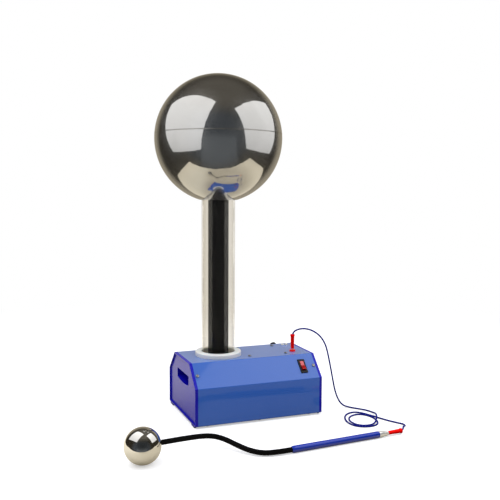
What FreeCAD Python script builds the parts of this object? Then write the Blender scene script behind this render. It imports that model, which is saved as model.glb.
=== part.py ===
import FreeCAD, Part
import math
import os

# Table-top Van de Graaff generator: a motor in a folded steel housing drives a rubber belt
# up a clear column into a two-part polished sphere.  A hand-held discharge wand lies in front
# and is joined to the housing's earth socket by a test lead.
#
# Everything is drawn in the housing's frame: X along the housing, Y from front to back,
# Z up from the table, with the middle of the housing's footprint at zero.  On export it is
# moved so that the origin is the middle of the ground that the whole set covers.

# ---------------------------------------------------------------- driving dimensions (mm)
shift_x = 55.14                # housing centre from the origin
shift_y = 77.57

close = 0.01                   # places nearer than this count as the same
past = 1.0                     # how far a cutter stands past the face it opens
fit_gap = 0.15                 # clearance between pieces that slip together
press_gap = 0.05               # clearance of pieces pressed together
run_gap = 0.04                 # radial clearance of a turning shaft

housing_length = 279.0         # over both end caps
housing_depth = 197.5
housing_top = 123.2            # top face above the table
shoulder_z = 80.4              # where the upright walls meet the slopes
top_depth = 112.7              # front to back of the flat top
panel_bottom = 4.0             # lower edge of the panels above the table
sheet = 1.2                    # steel sheet of the cover
bend_radius = 2.4              # outside radius of every fold
flange_width = 14.0            # return flange along the cover's lower edges

cap_edge = 6.0                 # part of an end cap that shows as an edge
cap_edge_radius = 1.0
cap_corner = 2.5               # rounding of the cap's two lower corners
cap_recess = 3.0               # depth of the sunk face
cap_rim = 3.2                  # rim round the sunk face
recess_round = 1.5
lip_depth = 14.0               # tongue that enters the cover
lip_wall = 2.0
boss_size = 10.0               # bosses that take the cover's screws
boss_height = 9.0
boss_floor = 1.0
foot_length = 20.0             # moulded foot, front to back
foot_inset = 9.0               # foot from the front or rear wall
foot_round = 1.0
foot_rise = 2.7                # moulded foot above the panels' lower edge
pad_height = 1.5               # rubber pad under each foot
pad_margin = 1.0
slot_width = 83.0              # hand slot
slot_top = 93.0
slot_end_height = 19.2
slot_sag = 4.0                 # how far the lower edge bows down
slot_depth = 26.0
slot_wall = 2.0
slot_radius = 2.0

plate = 2.0                    # base plate
plate_slot_count = 5           # air slots under the motor
plate_slot_pitch = 16.0
plate_slot_half = 22.0
vent_count = 9                 # air slots in the rear wall
vent_pitch = 8.0
vent_width = 3.2
vent_height = 26.0
vent_x = -30.0
vent_z = 44.0

pan_head_radius = 3.5
pan_head_height = 2.6
pan_shank = 2.0
head_round = 0.6               # rounding of a pan head, in head heights
recess_arm = 0.55              # cross recess: arm and half width in head radii
recess_half = 0.14
recess_sink = 0.5              # depth of the cross recess, in head heights
pilot_radius = 1.7             # holes for self-tapping screws
tap_shank = 1.65
thread_end = 1.0               # thread that stands out past a nut or plate
nut_height = 3.2
nut_half = 3.5                 # half width across flats
slope_screw_inset = 4.8        # cover screws from the end caps
slope_screw_up = 30.0          # up the slope from the shoulder
base_screw_end = 21.5          # outer base screws from the end caps
base_screw_inset = 8.0         # base screws from the front and rear walls
base_head_height = 2.0

column_x = -58.4               # axis of column, belt and sphere
column_radius = 35.0
column_wall = 3.0
column_bottom = 111.0
column_top = 548.0
collar_radius = 48.7
collar_height = 9.5
collar_round = 2.6
collar_mouth = 0.8             # chamfer where the column enters
spigot_wall = 4.0              # collar's spigot round the column
spigot_drop = 15.2             # spigot below the housing's top face
ledge_bore = 30.0              # ledge that the column stands on
ring_nut_height = 7.0
ring_nut_radius = 46.0
ring_nut_notches = 4
ring_nut_notch = 3.0           # half width and depth of a notch

roller_radius = 12.5
roller_crown = 0.4             # ends are smaller than the middle
roller_length = 40.0
roller_flat = 20.0             # straight middle of the roller
belt_width = 36.0
belt_thick = 0.8
belt_gap = 0.3                 # between belt and roller crown
lower_axis_z = 62.0
axle_rise = 24.0               # upper axle above the column's top
shaft_radius = 4.0
shaft_chamfer = 0.6
bearing_radius = 9.5
bearing_width = 6.0

frame_half = 20.6              # inner faces of the upper ears from the column axis
ear_thick = 5.0
ear_width = 24.0
ear_round = 9.0
ring_cap_wall = 2.2
ring_cap_skirt = 12.0
ring_cap_top = 4.0
ring_cap_bore = 24.0
axle_radius = 3.0
axle_overhang = 1.5

bracket_half = 25.0            # inner faces of the lower roller bracket
bracket_wall = 3.0
bracket_depth = 50.0
bracket_screw_side = 7.0       # bracket screws from its walls and its edges
bracket_screw_edge = 5.0
bush_radius = 7.0
bush_flange = 9.0
bush_flange_thick = 1.5
bush_overhang = 1.5
comb_reach = 1.6               # comb points from the belt
comb_teeth = 12
comb_thick = 0.5
comb_tooth = 4.0
comb_bar_front = 23.0          # front of the lower comb's bar from the belt's middle
comb_bar_depth = 5.0
comb_bar_height = 10.0
comb_post_y = 27.0             # upper comb's post from the belt's middle
comb_foot = 7.0
strap_width = 8.0

sphere_rise = 6.9              # sphere's centre above the upper axle
sphere_radius = 132.5
shell = 1.2
seam_rise = 8.9                # where the two shells meet, above the sphere's centre
seam_gap = 0.35
neck_roll = 3.0                # radius rolled round the neck hole
neck_height = 12.0             # turned-in neck along the column
neck_gap = 0.2
clamp_height = 8.0
clamp_thick = 1.0
lug_half = 7.0
lug_reach = 8.6
clamp_screw_radius = 2.2
clamp_screw_length = 20.0
clamp_screw_out = 5.0          # clamp screw from the band
locating_low = 9.0             # locating ring below and above the seam
locating_high = 7.0
locating_step = 1.5            # its step below the seam
locating_wall = 1.0
locating_gap = 0.35

shaft_left = 4.0               # lower shaft past the bracket, left and right
shaft_right = 12.0
shaft_end_gap = 1.0            # between the two shafts inside the coupling
coupling_radius = 9.0
coupling_start = 2.5           # coupling from the bracket
coupling_slits = 3
coupling_cut = 1.2
coupling_pitch = 3.6
coupling_bridge = 4.5          # metal left beside each slit
motor_face = 55.4              # front of the motor from the column's axis
motor_radius = 31.0
motor_length = 72.0
motor_wall = 1.6
bell_thick = 5.0
bell_spigot = 2.0
can_round = 4.0
can_boss = 5.5                 # bearing boss inside the can's end
can_slot_count = 6
can_slot_length = 10.0
can_slot_width = 5.0
can_slot_inset = 6.0
core_radius = 20.5
core_length = 34.0
core_slots = 8
core_slot_width = 2.4
core_slot_depth = 5.0
core_gap = 6.0                 # core from the commutator's space
field_wall = 8.0
field_flat = 2.0
fan_radius = 24.0
fan_hub = 8.0
fan_blades = 6
fan_blade_thick = 1.6
fan_thick = 4.5
fan_gap = 2.0
commutator_radius = 9.0
commutator_length = 12.0
thrust_gap = 2.0               # end of the armature's shaft from the can
motor_screw_radius = 1.5
motor_screw_circle = 22.0
motor_head_radius = 2.6
motor_head_height = 2.0

hanger_thick = 2.5             # plate that hangs the motor from the top
hanger_front = 5.0             # plate in front of the motor's face
hanger_end = 44.5              # plate's other end from the right end cap
hanger_depth = 90.0
hanger_drop = 98.0
hanger_round = 12.0
hanger_screw_front = 1.8       # first screws from the motor's face
hanger_screw_end = 51.5        # other screws from the right end cap
hanger_screw_y = 38.2

stud_insets = (25.6, 16.5)     # pair of domed screws from the right end cap
stud_y = 38.5
stud_radius = 3.7
stud_height = 4.2
stud_tail = 4.0
angle_half = 8.0               # angle that carries the control board
angle_thick = 1.5
angle_gap = 2.0                # from the motor's hanger
board_length = 33.0
board_height = 36.0
board_top = 6.0                # board below the roof
board_web = 26.0               # web of the board's angle
board_thick = 1.6
board_gap = 2.0                # board from the hand slot
capacitor_radius = 6.0
capacitor_length = 14.0
choke_radius = 7.0
choke_length = 6.0
part_margin = 2.0              # parts from the board's edges
fin_count = 4
fin_thick = 1.2
fin_pitch = 3.0
fin_depth = 9.0
fin_height = 10.0

socket_inset = 29.7            # 4 mm earth socket from the right end cap
socket_y = -25.0
socket_flange = 6.3
socket_flange_height = 3.6
socket_flange_round = 1.2
socket_body = 5.0
socket_drop = 20.0
socket_floor = 2.0
socket_bore = 2.05
socket_nut = 8.0               # over the nut's corners, as a radius
socket_nut_height = 3.0

switch_inset = 30.0            # rocker switch from the right end cap
switch_up = 30.4               # and up the front slope
bezel_width = 15.6
bezel_length = 32.8
bezel_height = 2.2
bezel_ledge = 1.3              # bezel past the case behind it
bezel_side = 3.6               # bezel beside and beyond the rocker
bezel_end = 4.6
bezel_round = 1.0
body_depth = 20.0
body_floor = 4.0
rocker_rise = 4.8              # rocker's raised end above the slope
rocker_angle = 9.0             # each half's tilt
rocker_gap = 0.35
rocker_depth = 7.0
rocker_heel = 4.0              # depth of the rocker's ends
rocker_draft = 1.6
rocker_keel = 3.5
rocker_round = 0.8
rocker_pin = 1.2
rocker_pin_reach = 0.8
tab_width = 4.8
tab_thick = 0.8
tab_length = 8.0
tab_spread = 9.0

knob_inset = 31.5              # speed knob from the right end cap
knob_up = 39.0                 # and up the rear slope
knob_radius = 7.6
knob_height = 14.0
knob_round = 3.2
knob_lift = 0.6
knob_rest = 135.0              # pointer from straight up, anticlockwise, at the off stop
knob_crown = 3.2               # solid part over the spindle
knob_skirt = 0.5               # knob's clearance round the bushing
pointer_width = 1.0
pointer_start = 1.0
pointer_sink = 0.6
flute_count = 12
flute_radius = 0.7
flute_out = 0.25               # flute centres outside the knob's face
pot_radius = 8.2
pot_height = 9.0
pot_shaft = 3.0
pot_shaft_depth = 4.5
pot_bushing = 4.75
pot_bushing_rise = 3.4

inlet_inset = 49.5             # mains inlet from the right end cap
inlet_z = 44.0
inlet_flange = (30.8, 24.8)
inlet_body = (27.0, 20.0)
inlet_mouth = (24.4, 16.4)
inlet_flange_thick = 2.6
inlet_flange_round = 1.2
inlet_corner = 4.5             # cut upper corners of the mouth
inlet_depth = 22.0
inlet_mouth_depth = 17.0
inlet_pin = (2.0, 4.0)
inlet_pin_length = 14.0
inlet_pin_spread = 7.0
inlet_pin_low = -1.0           # outer pins and middle pin from the inlet's middle
inlet_pin_high = 3.0

lead_diameter = 3.4
plug_rear_radius = 4.25
plug_front_radius = 3.7
plug_nose = 1.0                # chamfered front of the sleeve, length and step
plug_nose_step = 0.6
plug_length = 31.5
plug_mouth = 3.4               # bore that the lead enters
plug_mouth_taper = 0.8
plug_mouth_depth = 6.0
plug_rim = 5.0                 # flared rear rim
plug_rim_length = 3.0
plug_rim_chamfer = 0.6
pin_radius = 2.0
pin_length = 19.0
pin_fit = 0.02
pin_tip = 1.2
pin_waist = 1.8                # slimmer stretch in front of the spring
pin_taper = 2.0                # length of each step of the pin's end
plug_a_z = 129.0               # front end of the upright plug's sleeve
plug_b_gap = 1.0               # lying plug's sleeve from the ferrule

ball_radius = 32.6
ball_wall = 1.5
ball_boss = 6.0
ball_boss_length = 12.0
ball_x = -275.9
ball_y = -236.0
neck_radius = 4.6              # flexible neck of the wand
neck_in_ball = 10.0
neck_in_handle = 12.0
neck_run_in = 12.0
handle_radius = 6.6
handle_start = (-13.6, -279.7)
handle_end = (176.5, -265.3)
handle_nose = 3.0              # rounded front of the grip
handle_step = 1.2
handle_bore_depth = 14.0
handle_chamfer = 1.0
ferrule_length = 21.5
ferrule_rear = 6.1
ferrule_front = 4.6
ferrule_flat = 8.0             # straight rear part
ferrule_cone = 3.0
ferrule_step = 0.6
ferrule_chamfer = 0.8
ferrule_bore_depth = 20.0

# Flexible neck of the wand, from the ball to the handle.
neck_route = [
    (-214.0, -216.2, 28.2), (-184.0, -207.4, 26.0), (-160.5, -200.0, 23.5),
    (-138.0, -198.2, 20.5), (-119.0, -209.5, 16.4), (-103.5, -234.0, 11.5),
    (-86.5, -260.0, 7.6), (-66.0, -277.6, 6.2), (-41.0, -281.8, 6.6),
]

# Test lead from the upright plug, over the housing's edge and down to the table.
lead_a_route = [
    (103.8, -25.0, 154.5), (103.8, -25.0, 161.3), (108.5, -27.0, 168.5), (119.0, -31.5, 172.9),
    (132.0, -37.3, 173.2), (146.2, -43.5, 168.0), (160.2, -49.6, 156.3), (170.0, -53.9, 138.5),
    (175.1, -56.1, 117.0), (179.8, -58.2, 92.0), (185.0, -60.4, 63.0), (189.4, -62.3, 38.0),
    (196.4, -65.4, 17.0), (205.6, -69.6, 4.2), (217.8, -81.8, 1.75), (230.8, -97.0, 1.75),
    (242.0, -112.5, 1.75), (245.4, -132.5, 1.75), (238.4, -152.0, 1.75),
]

# Test lead from its loose loops to the plug in the wand.
lead_b_route = [
    (237.8, -165.8, 1.75), (246.8, -186.6, 1.75), (256.0, -203.2, 1.75), (264.6, -217.4, 1.75),
    (258.8, -232.4, 3.9), (249.6, -242.3, 7.6), (241.5, -250.7, 9.7), (236.3, -258.2, 8.6),
    (230.7, -261.1, 6.6), (224.3, -261.6, 6.6),
]
coil_center = (199.5, -160.0)
coil_outer = (38.0, 48.0)      # half widths of the loops that lie on the table
coil_inner = (22.0, 29.0)
coil_height = 8.0

# ---------------------------------------------------------------- worked-out dimensions
half_length = housing_length / 2
half_depth = housing_depth / 2
cover_half = half_length - cap_edge
roof = housing_top - sheet                     # underside of the cover's top
flange_top = panel_bottom + sheet
plate_top = flange_top + plate
slope_run = (housing_depth - top_depth) / 2
slope_rise = housing_top - shoulder_z
slope_angle = math.degrees(math.atan2(slope_rise, slope_run))
slope_screw_x = cover_half - slope_screw_inset
base_screw_reach = cover_half - base_screw_end

socket_x = cover_half - socket_inset
switch_x = cover_half - switch_inset
knob_x = cover_half - knob_inset
inlet_x = cover_half - inlet_inset
stud_x = [cover_half - inset for inset in stud_insets]

spigot_radius = column_radius + fit_gap + spigot_wall
upper_axis_z = column_top + axle_rise
sphere_z = upper_axis_z + sphere_rise
seam_z = sphere_z + seam_rise
belt_inner = roller_radius + belt_gap
belt_outer = belt_inner + belt_thick
comb_tip = belt_outer + comb_reach

bracket_outer = bracket_half + bracket_wall
shaft_left_x = column_x - bracket_outer - shaft_left
shaft_right_x = column_x + bracket_outer + shaft_right
motor_shaft_x = shaft_right_x + shaft_end_gap
motor_face_x = column_x + motor_face
motor_end_x = motor_face_x + motor_length
motor_can_x = motor_face_x + bell_thick
core_x = motor_can_x + commutator_length + core_gap
hanger_low_x = motor_face_x - hanger_front
hanger_high_x = cover_half - hanger_end
board_high_x = half_length - cap_recess - slot_depth - slot_wall - board_gap
board_low_x = board_high_x - board_length

neck_bore = column_radius + neck_gap
roll_radius = neck_bore + neck_roll            # middle of the rolled edge from the axis
roll_z = sphere_z - math.sqrt((sphere_radius - neck_roll) ** 2 - roll_radius ** 2)
neck_top = roll_z + neck_height
clamp_z = neck_top - clamp_height
clamp_bore = neck_bore + shell + press_gap


def vec(x, y, z):
    return FreeCAD.Vector(x, y, z)


handle_z = handle_radius
wand_dir = vec(handle_end[0] - handle_start[0], handle_end[1] - handle_start[1], 0)
handle_length = wand_dir.Length
wand_dir.normalize()
grip_start = vec(handle_start[0], handle_start[1], handle_z)
grip_end = grip_start + wand_dir * handle_length
ball_center = vec(ball_x, ball_y, ball_radius)
neck_dir = (vec(*neck_route[0]) - ball_center).normalize()

AXIS_X = vec(1, 0, 0)
AXIS_Y = vec(0, 1, 0)
AXIS_Z = vec(0, 0, 1)


# ---------------------------------------------------------------- drawing helpers
def box(low, high):
    size = [b - a for a, b in zip(low, high)]
    return Part.makeBox(size[0], size[1], size[2], vec(*low))


def centered_box(size, middle):
    low = [m - s / 2 for s, m in zip(size, middle)]
    return Part.makeBox(size[0], size[1], size[2], vec(*low))


def rod(radius, length, start, axis=AXIS_Z):
    return Part.makeCylinder(radius, length, vec(*start), axis)


def tube(outer, inner, length, start, axis=AXIS_Z):
    return rod(outer, length, start, axis).cut(rod(inner, length, start, axis))


def prism_x(points, x_low, x_high):
    """Extrude an outline of (y, z) points along X."""
    corners = [vec(x_low, y, z) for y, z in points]
    face = Part.Face(Part.makePolygon(corners + corners[:1]))
    return face.extrude(vec(x_high - x_low, 0, 0))


def hexagon(corner_radius, height):
    """Upright six-sided prism about the Z axis."""
    turns = [math.radians(60 * i) for i in range(6)]
    corners = [vec(corner_radius * math.cos(turn), corner_radius * math.sin(turn), 0) for turn in turns]
    return Part.Face(Part.makePolygon(corners + corners[:1])).extrude(vec(0, 0, height))


def turned(edges, center=(0, 0)):
    """Turn a closed profile, drawn in the XZ plane, about the upright axis at center."""
    solid = Part.Face(Part.Wire(edges)).revolve(vec(0, 0, 0), AXIS_Z, 360)
    solid.translate(vec(center[0], center[1], 0))
    return solid


def turned_points(points, center=(0, 0)):
    corners = [vec(r, 0, z) for r, z in points]
    return turned(Part.makePolygon(corners + corners[:1]).Edges, center)


def arc(center, radius, start, end):
    """Arc in the XZ plane about center, from angle start to angle end in degrees."""
    spots = []
    for angle in (start, (start + end) / 2, end):
        turn = math.radians(angle)
        spots.append(vec(center[0] + radius * math.cos(turn), 0, center[1] + radius * math.sin(turn)))
    return Part.Arc(*spots).toShape()


def line(start, end):
    return Part.makeLine(vec(start[0], 0, start[1]), vec(end[0], 0, end[1]))


def fillet_where(shape, radius, wanted):
    edges = [edge for edge in shape.Edges if wanted(edge)]
    return shape.makeFillet(radius, edges)


def is_circle(edge, radius, z):
    """True for a level circle of this radius at this height."""
    curve = edge.Curve
    if not isinstance(curve, Part.Circle):
        return False
    return abs(curve.Radius - radius) < close and abs(curve.Center.z - z) < close


def circles(shape):
    return [edge for edge in shape.Edges if isinstance(edge.Curve, Part.Circle)]


def runs_along(edge, axis):
    """True for a straight edge parallel to this axis."""
    way = edge.Vertexes[-1].Point - edge.Vertexes[0].Point
    return way.Length > close and way.cross(axis).Length < close


def lies_at(edge, axis, place):
    """True for an edge whose ends are both at this place along the axis."""
    return all(abs(vertex.Point.dot(axis) - place) < close for vertex in edge.Vertexes)


def along_x_at(points):
    """Select edges parallel to X that pass through one of the (y, z) points."""
    def wanted(edge):
        start = edge.Vertexes[0].Point
        return runs_along(edge, AXIS_X) and any(
            abs(start.y - y) < close and abs(start.z - z) < close for y, z in points)
    return wanted


def outline(inset, floor=panel_bottom):
    """The housing's (y, z) outline, each wall moved inwards by inset, from the front's foot."""
    angle = math.radians(slope_angle)
    shoulder = shoulder_z - inset * (1 - math.sin(angle)) / math.cos(angle)
    top = housing_top - inset
    top_y = (inset + (top - shoulder_z) * math.cos(angle)) / math.sin(angle) - half_depth
    front = inset - half_depth
    left = [(front, floor), (front, shoulder), (top_y, top)]
    right = [(-y, z) for y, z in reversed(left)]
    return left + right


def on_front_slope(shape, x, up):
    """Place a shape drawn on the XY plane onto the front slope, its Y pointing up the slope."""
    angle = math.radians(slope_angle)
    base = vec(x, up * math.cos(angle) - half_depth, shoulder_z + up * math.sin(angle))
    tilt = FreeCAD.Placement(base, FreeCAD.Rotation(AXIS_X, slope_angle))
    placed = shape.copy()
    placed.Placement = tilt.multiply(placed.Placement)
    return placed


def on_rear_slope(shape, x, up):
    placed = on_front_slope(shape, -x, up)
    placed.rotate(vec(0, 0, 0), AXIS_Z, 180)
    return placed


def placed_along(shape, start, direction):
    """Turn a shape drawn along +Z so that it starts at start and runs along direction."""
    placed = shape.copy()
    turn = FreeCAD.Placement(start, FreeCAD.Rotation(AXIS_Z, direction))
    placed.Placement = turn.multiply(placed.Placement)
    return placed


def around_x(shape, count, z, first=0.0):
    """Copies of a shape, turned about the X axis and raised to z."""
    copies = []
    for i in range(count):
        copy = shape.copy()
        copy.rotate(vec(0, 0, 0), AXIS_X, first + i * 360 / count)
        copy.translate(vec(0, 0, z))
        copies.append(copy)
    return copies


def fuse_all(shapes):
    whole = shapes[0].fuse(shapes[1:])
    return whole.removeSplitter()


def pan_screw(head_radius, head_height, shank_radius, shank_length, recess=True):
    """Pan-head screw with its seat at z = 0 and its shank downwards."""
    head = rod(head_radius, head_height, (0, 0, 0))
    head = fillet_where(head, head_height * head_round, lambda e: is_circle(e, head_radius, head_height))
    screw = head.fuse(rod(shank_radius, shank_length, (0, 0, -shank_length)))
    if recess:
        arm = head_radius * recess_arm
        blade = head_radius * recess_half
        floor = head_height * (1 - recess_sink)
        cross = box((-arm, -blade, floor), (arm, blade, head_height + past))
        cross = cross.fuse(box((-blade, -arm, floor), (blade, arm, head_height + past)))
        screw = screw.cut(cross)
    return screw


def bent_path(route):
    """Straight runs joined by tangent arcs through a route, and each arc's radius."""
    bend_share = 0.45          # share of a run that the bend at its end takes
    points = [vec(*p) for p in route]
    runs = [(b - a).Length for a, b in zip(points, points[1:])]
    edges, radii, start = [], [], points[0]
    for i in range(1, len(points) - 1):
        back = (points[i - 1] - points[i]).normalize()
        ahead = (points[i + 1] - points[i]).normalize()
        half_turn = (math.pi - back.getAngle(ahead)) / 2
        reach = bend_share * min(runs[i - 1], runs[i])
        radius = reach / math.tan(half_turn)
        arc_start = points[i] + back * reach
        arc_end = points[i] + ahead * reach
        inward = (back + ahead).normalize()
        center = points[i] + inward * (radius / math.cos(half_turn))
        arc_middle = center - inward * radius
        edges.append(Part.LineSegment(start, arc_start).toShape())
        edges.append(Part.Arc(arc_start, arc_middle, arc_end).toShape())
        radii.append(radius)
        start = arc_end
    edges.append(Part.LineSegment(start, points[-1]).toShape())
    return Part.Wire(edges), radii


def flexible(route, radius, name):
    """A round flexible piece along a route; prints its bend radii and checks its volume."""
    path, radii = bent_path(route)
    first = (vec(*route[1]) - vec(*route[0])).normalize()
    section = Part.Wire(Part.makeCircle(radius, vec(*route[0]), first))
    solid = path.makePipeShell([section], True, False)
    expected = math.pi * radius ** 2 * path.Length
    print(name, "length", round(path.Length, 1), "radii", [round(r, 1) for r in radii])
    print(name, "volume over section times length", round(solid.Volume / expected, 5))
    return solid


# ---------------------------------------------------------------- housing
def roof_screw_spots():
    """Top-face screws of the motor hanger."""
    places = (motor_face_x + hanger_screw_front, cover_half - hanger_screw_end)
    return [(x, y) for x in places for y in (-hanger_screw_y, hanger_screw_y)]


def base_screw_spots():
    y = half_depth - base_screw_inset
    return [(x, side * y) for x in (-base_screw_reach, 0, base_screw_reach) for side in (-1, 1)]


def switch_outline(grow):
    """Half width and half length of the switch's case behind its bezel."""
    return bezel_width / 2 - bezel_ledge + grow, bezel_length / 2 - bezel_ledge + grow


def cover():
    """Folded sheet: front, slope, top, slope and rear, with a return flange along each foot."""
    inside = outline(sheet, flange_top)
    body = prism_x(outline(0), -cover_half, cover_half)
    body = body.cut(prism_x(inside, -cover_half, cover_half))
    open_half = half_depth - flange_width
    body = body.cut(box((-cover_half, -open_half, panel_bottom), (cover_half, open_half, flange_top)))
    body = fillet_where(body, bend_radius, along_x_at(outline(0)))
    body = fillet_where(body, bend_radius - sheet, along_x_at(inside))

    through = sheet + 2 * past
    below = roof - past
    hole = rod(pan_shank + fit_gap, through, (0, 0, -sheet - past))
    cuts = [rod(spigot_radius + fit_gap, through, (column_x, 0, below))]
    cuts.append(rod(socket_body + fit_gap, through, (socket_x, socket_y, below)))
    for x, y in roof_screw_spots() + [(x, stud_y) for x in stud_x]:
        cuts.append(rod(pan_shank + fit_gap, through, (x, y, below)))
    for x in (-slope_screw_x, slope_screw_x):
        cuts.append(on_front_slope(hole, x, slope_screw_up))
        cuts.append(on_rear_slope(hole, x, slope_screw_up))
    half_w, half_l = switch_outline(fit_gap)
    window = box((-half_w, -half_l, -sheet - past), (half_w, half_l, past))
    cuts.append(on_front_slope(window, switch_x, switch_up))
    bushing_hole = rod(pot_bushing + fit_gap, through, (0, 0, -sheet - past))
    cuts.append(on_rear_slope(bushing_hole, knob_x, knob_up))
    wall_y = half_depth - sheet / 2
    inlet_hole = (inlet_body[0] + 2 * fit_gap, through, inlet_body[1] + 2 * fit_gap)
    cuts.append(centered_box(inlet_hole, (inlet_x, wall_y, inlet_z)))
    for i in range(vent_count):
        x = vent_x + (i - (vent_count - 1) / 2) * vent_pitch
        cuts.append(centered_box((vent_width, through, vent_height), (x, wall_y, vent_z)))
    for x, y in base_screw_spots():
        cuts.append(rod(pan_shank + fit_gap, through, (x, y, panel_bottom - past)))
    return body.cut(cuts)


def base_plate():
    """Steel plate that lies on the cover's return flanges."""
    half_x = cover_half - 2 * fit_gap
    half_y = half_depth - bend_radius - fit_gap
    body = box((-half_x, -half_y, flange_top), (half_x, half_y, plate_top))
    body = fillet_where(body, bend_radius, lambda e: runs_along(e, AXIS_Z))
    through = plate + 2 * past
    below = flange_top - past
    screw_spots = base_screw_spots() + bracket_spots()
    cuts = [rod(pan_shank + fit_gap, through, (x, y, below)) for x, y in screw_spots]
    for i in range(plate_slot_count):
        x = motor_face_x + motor_length / 2 + (i - (plate_slot_count - 1) / 2) * plate_slot_pitch
        cuts.append(box((x - vent_width / 2, -plate_slot_half, below),
                        (x + vent_width / 2, plate_slot_half, below + through)))
    return body.cut(cuts)


def slot_profile(grow, x_low, x_high):
    """Hand slot: straight top and ends, and a lower edge that bows down."""
    half = slot_width / 2 + grow
    top = slot_top + grow
    end = slot_top - slot_end_height - grow
    sides = [(-half, end), (-half, top), (half, top), (half, end)]
    corners = [vec(x_low, y, z) for y, z in sides]
    low_middle = vec(x_low, 0, end - slot_sag)
    edges = [Part.makeLine(a, b) for a, b in zip(corners, corners[1:])]
    edges.append(Part.Arc(corners[3], low_middle, corners[0]).toShape())
    solid = Part.Face(Part.Wire(edges)).extrude(vec(x_high - x_low, 0, 0))
    return fillet_where(solid, slot_radius + grow, lambda e: runs_along(e, AXIS_X))


def cap_panel(outer_x, inner_x):
    """The end cap's plate with its rounded rim and sunk face."""
    corners = outline(0)
    body = prism_x(corners, outer_x, inner_x)
    body = fillet_where(body, cap_corner, along_x_at([corners[0], corners[-1]]))
    body = fillet_where(body, bend_radius, along_x_at(corners[1:-1]))
    body = fillet_where(body, cap_edge_radius, lambda e: lies_at(e, AXIS_X, outer_x))
    sunk = prism_x(outline(cap_rim, panel_bottom + cap_rim), outer_x - past, outer_x + cap_recess)
    sunk = fillet_where(sunk, recess_round, lambda e: runs_along(e, AXIS_X))
    return body.cut(sunk)


def cap_tongue(inner_x):
    """Wall that enters the cover and lines it."""
    floor = plate_top + 2 * fit_gap
    outer = outline(sheet + fit_gap, floor)
    inner = outline(sheet + fit_gap + lip_wall, floor)
    body = prism_x(outer, inner_x, inner_x + lip_depth)
    body = fillet_where(body, bend_radius - sheet, along_x_at(outer[1:-1]))
    return body.cut(prism_x(inner, inner_x, inner_x + lip_depth))


def cap_feet(outer_x, inner_x):
    feet = []
    for side in (-1, 1):
        reach = half_depth - foot_inset
        y_low, y_high = sorted((side * reach, side * (reach - foot_length)))
        foot = box((outer_x, y_low, pad_height), (inner_x, y_high, panel_bottom))
        foot = fillet_where(foot, foot_round, lambda e: lies_at(e, AXIS_Z, pad_height))
        root = box((outer_x + cap_edge_radius, y_low, panel_bottom),
                   (inner_x, y_high, panel_bottom + foot_rise))
        feet.append(foot.fuse(root))
    return feet


def end_cap():
    """Left end cap: a moulded plate with a sunk face, a hand slot, feet and a tongue."""
    outer_x = -half_length
    inner_x = -cover_half
    pieces = [cap_panel(outer_x, inner_x), cap_tongue(inner_x)] + cap_feet(outer_x, inner_x)
    under = sheet + fit_gap
    half = boss_size / 2
    boss = box((-slope_screw_inset, -half, -under - boss_height), (half, half, -under))
    mirrored = boss.mirror(vec(0, 0, 0), AXIS_X)
    pieces.append(on_front_slope(boss, -slope_screw_x, slope_screw_up))
    pieces.append(on_rear_slope(mirrored, -slope_screw_x, slope_screw_up))
    wall_start = outer_x + cap_recess
    pieces.append(slot_profile(slot_wall, wall_start, wall_start + slot_depth + slot_wall))
    pilot_low = -under - boss_height + boss_floor
    pilot = rod(pilot_radius, -pilot_low, (0, 0, pilot_low))
    cuts = [slot_profile(0, outer_x - past, wall_start + slot_depth)]
    cuts.append(on_front_slope(pilot, -slope_screw_x, slope_screw_up))
    cuts.append(on_rear_slope(pilot, -slope_screw_x, slope_screw_up))
    return fuse_all(pieces).cut(cuts)


def rubber_feet():
    """Pads under the four moulded feet."""
    outer_x = half_length - pad_margin
    inner_x = cover_half + pad_margin
    outer_y = half_depth - foot_inset - pad_margin
    inner_y = half_depth - foot_inset - foot_length + pad_margin
    size = (outer_x - inner_x, outer_y - inner_y, pad_height)
    pads = []
    for x in (-(outer_x + inner_x) / 2, (outer_x + inner_x) / 2):
        for y in (-(outer_y + inner_y) / 2, (outer_y + inner_y) / 2):
            pads.append(centered_box(size, (x, y, pad_height / 2)))
    return Part.makeCompound(pads)


def cover_screws():
    screw = pan_screw(pan_head_radius, pan_head_height, tap_shank, boss_height - boss_floor)
    screws = []
    for x in (-slope_screw_x, slope_screw_x):
        screws.append(on_front_slope(screw, x, slope_screw_up))
        screws.append(on_rear_slope(screw, x, slope_screw_up))
    return Part.makeCompound(screws)


def base_screws():
    """Screws up through the return flanges into the base plate."""
    screws = []
    for x, y in base_screw_spots():
        screw = pan_screw(pan_head_radius, base_head_height, pan_shank, sheet + plate + thread_end)
        screw.rotate(vec(0, 0, 0), AXIS_X, 180)
        screw.translate(vec(x, y, panel_bottom))
        screws.append(screw)
    return Part.makeCompound(screws)


# ---------------------------------------------------------------- column
def collar():
    """Turned white collar: a flange on the roof and a spigot with a ledge for the column."""
    top = housing_top + collar_height
    bottom = housing_top - spigot_drop
    bore = column_radius + fit_gap
    profile = [(ledge_bore, bottom), (spigot_radius, bottom), (spigot_radius, housing_top),
               (collar_radius, housing_top), (collar_radius, top), (bore, top),
               (bore, column_bottom), (ledge_bore, column_bottom)]
    body = turned_points(profile, (column_x, 0))
    body = fillet_where(body, collar_round, lambda e: is_circle(e, collar_radius, top))
    return body.makeChamfer(collar_mouth, [e for e in body.Edges if is_circle(e, bore, top)])


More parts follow.
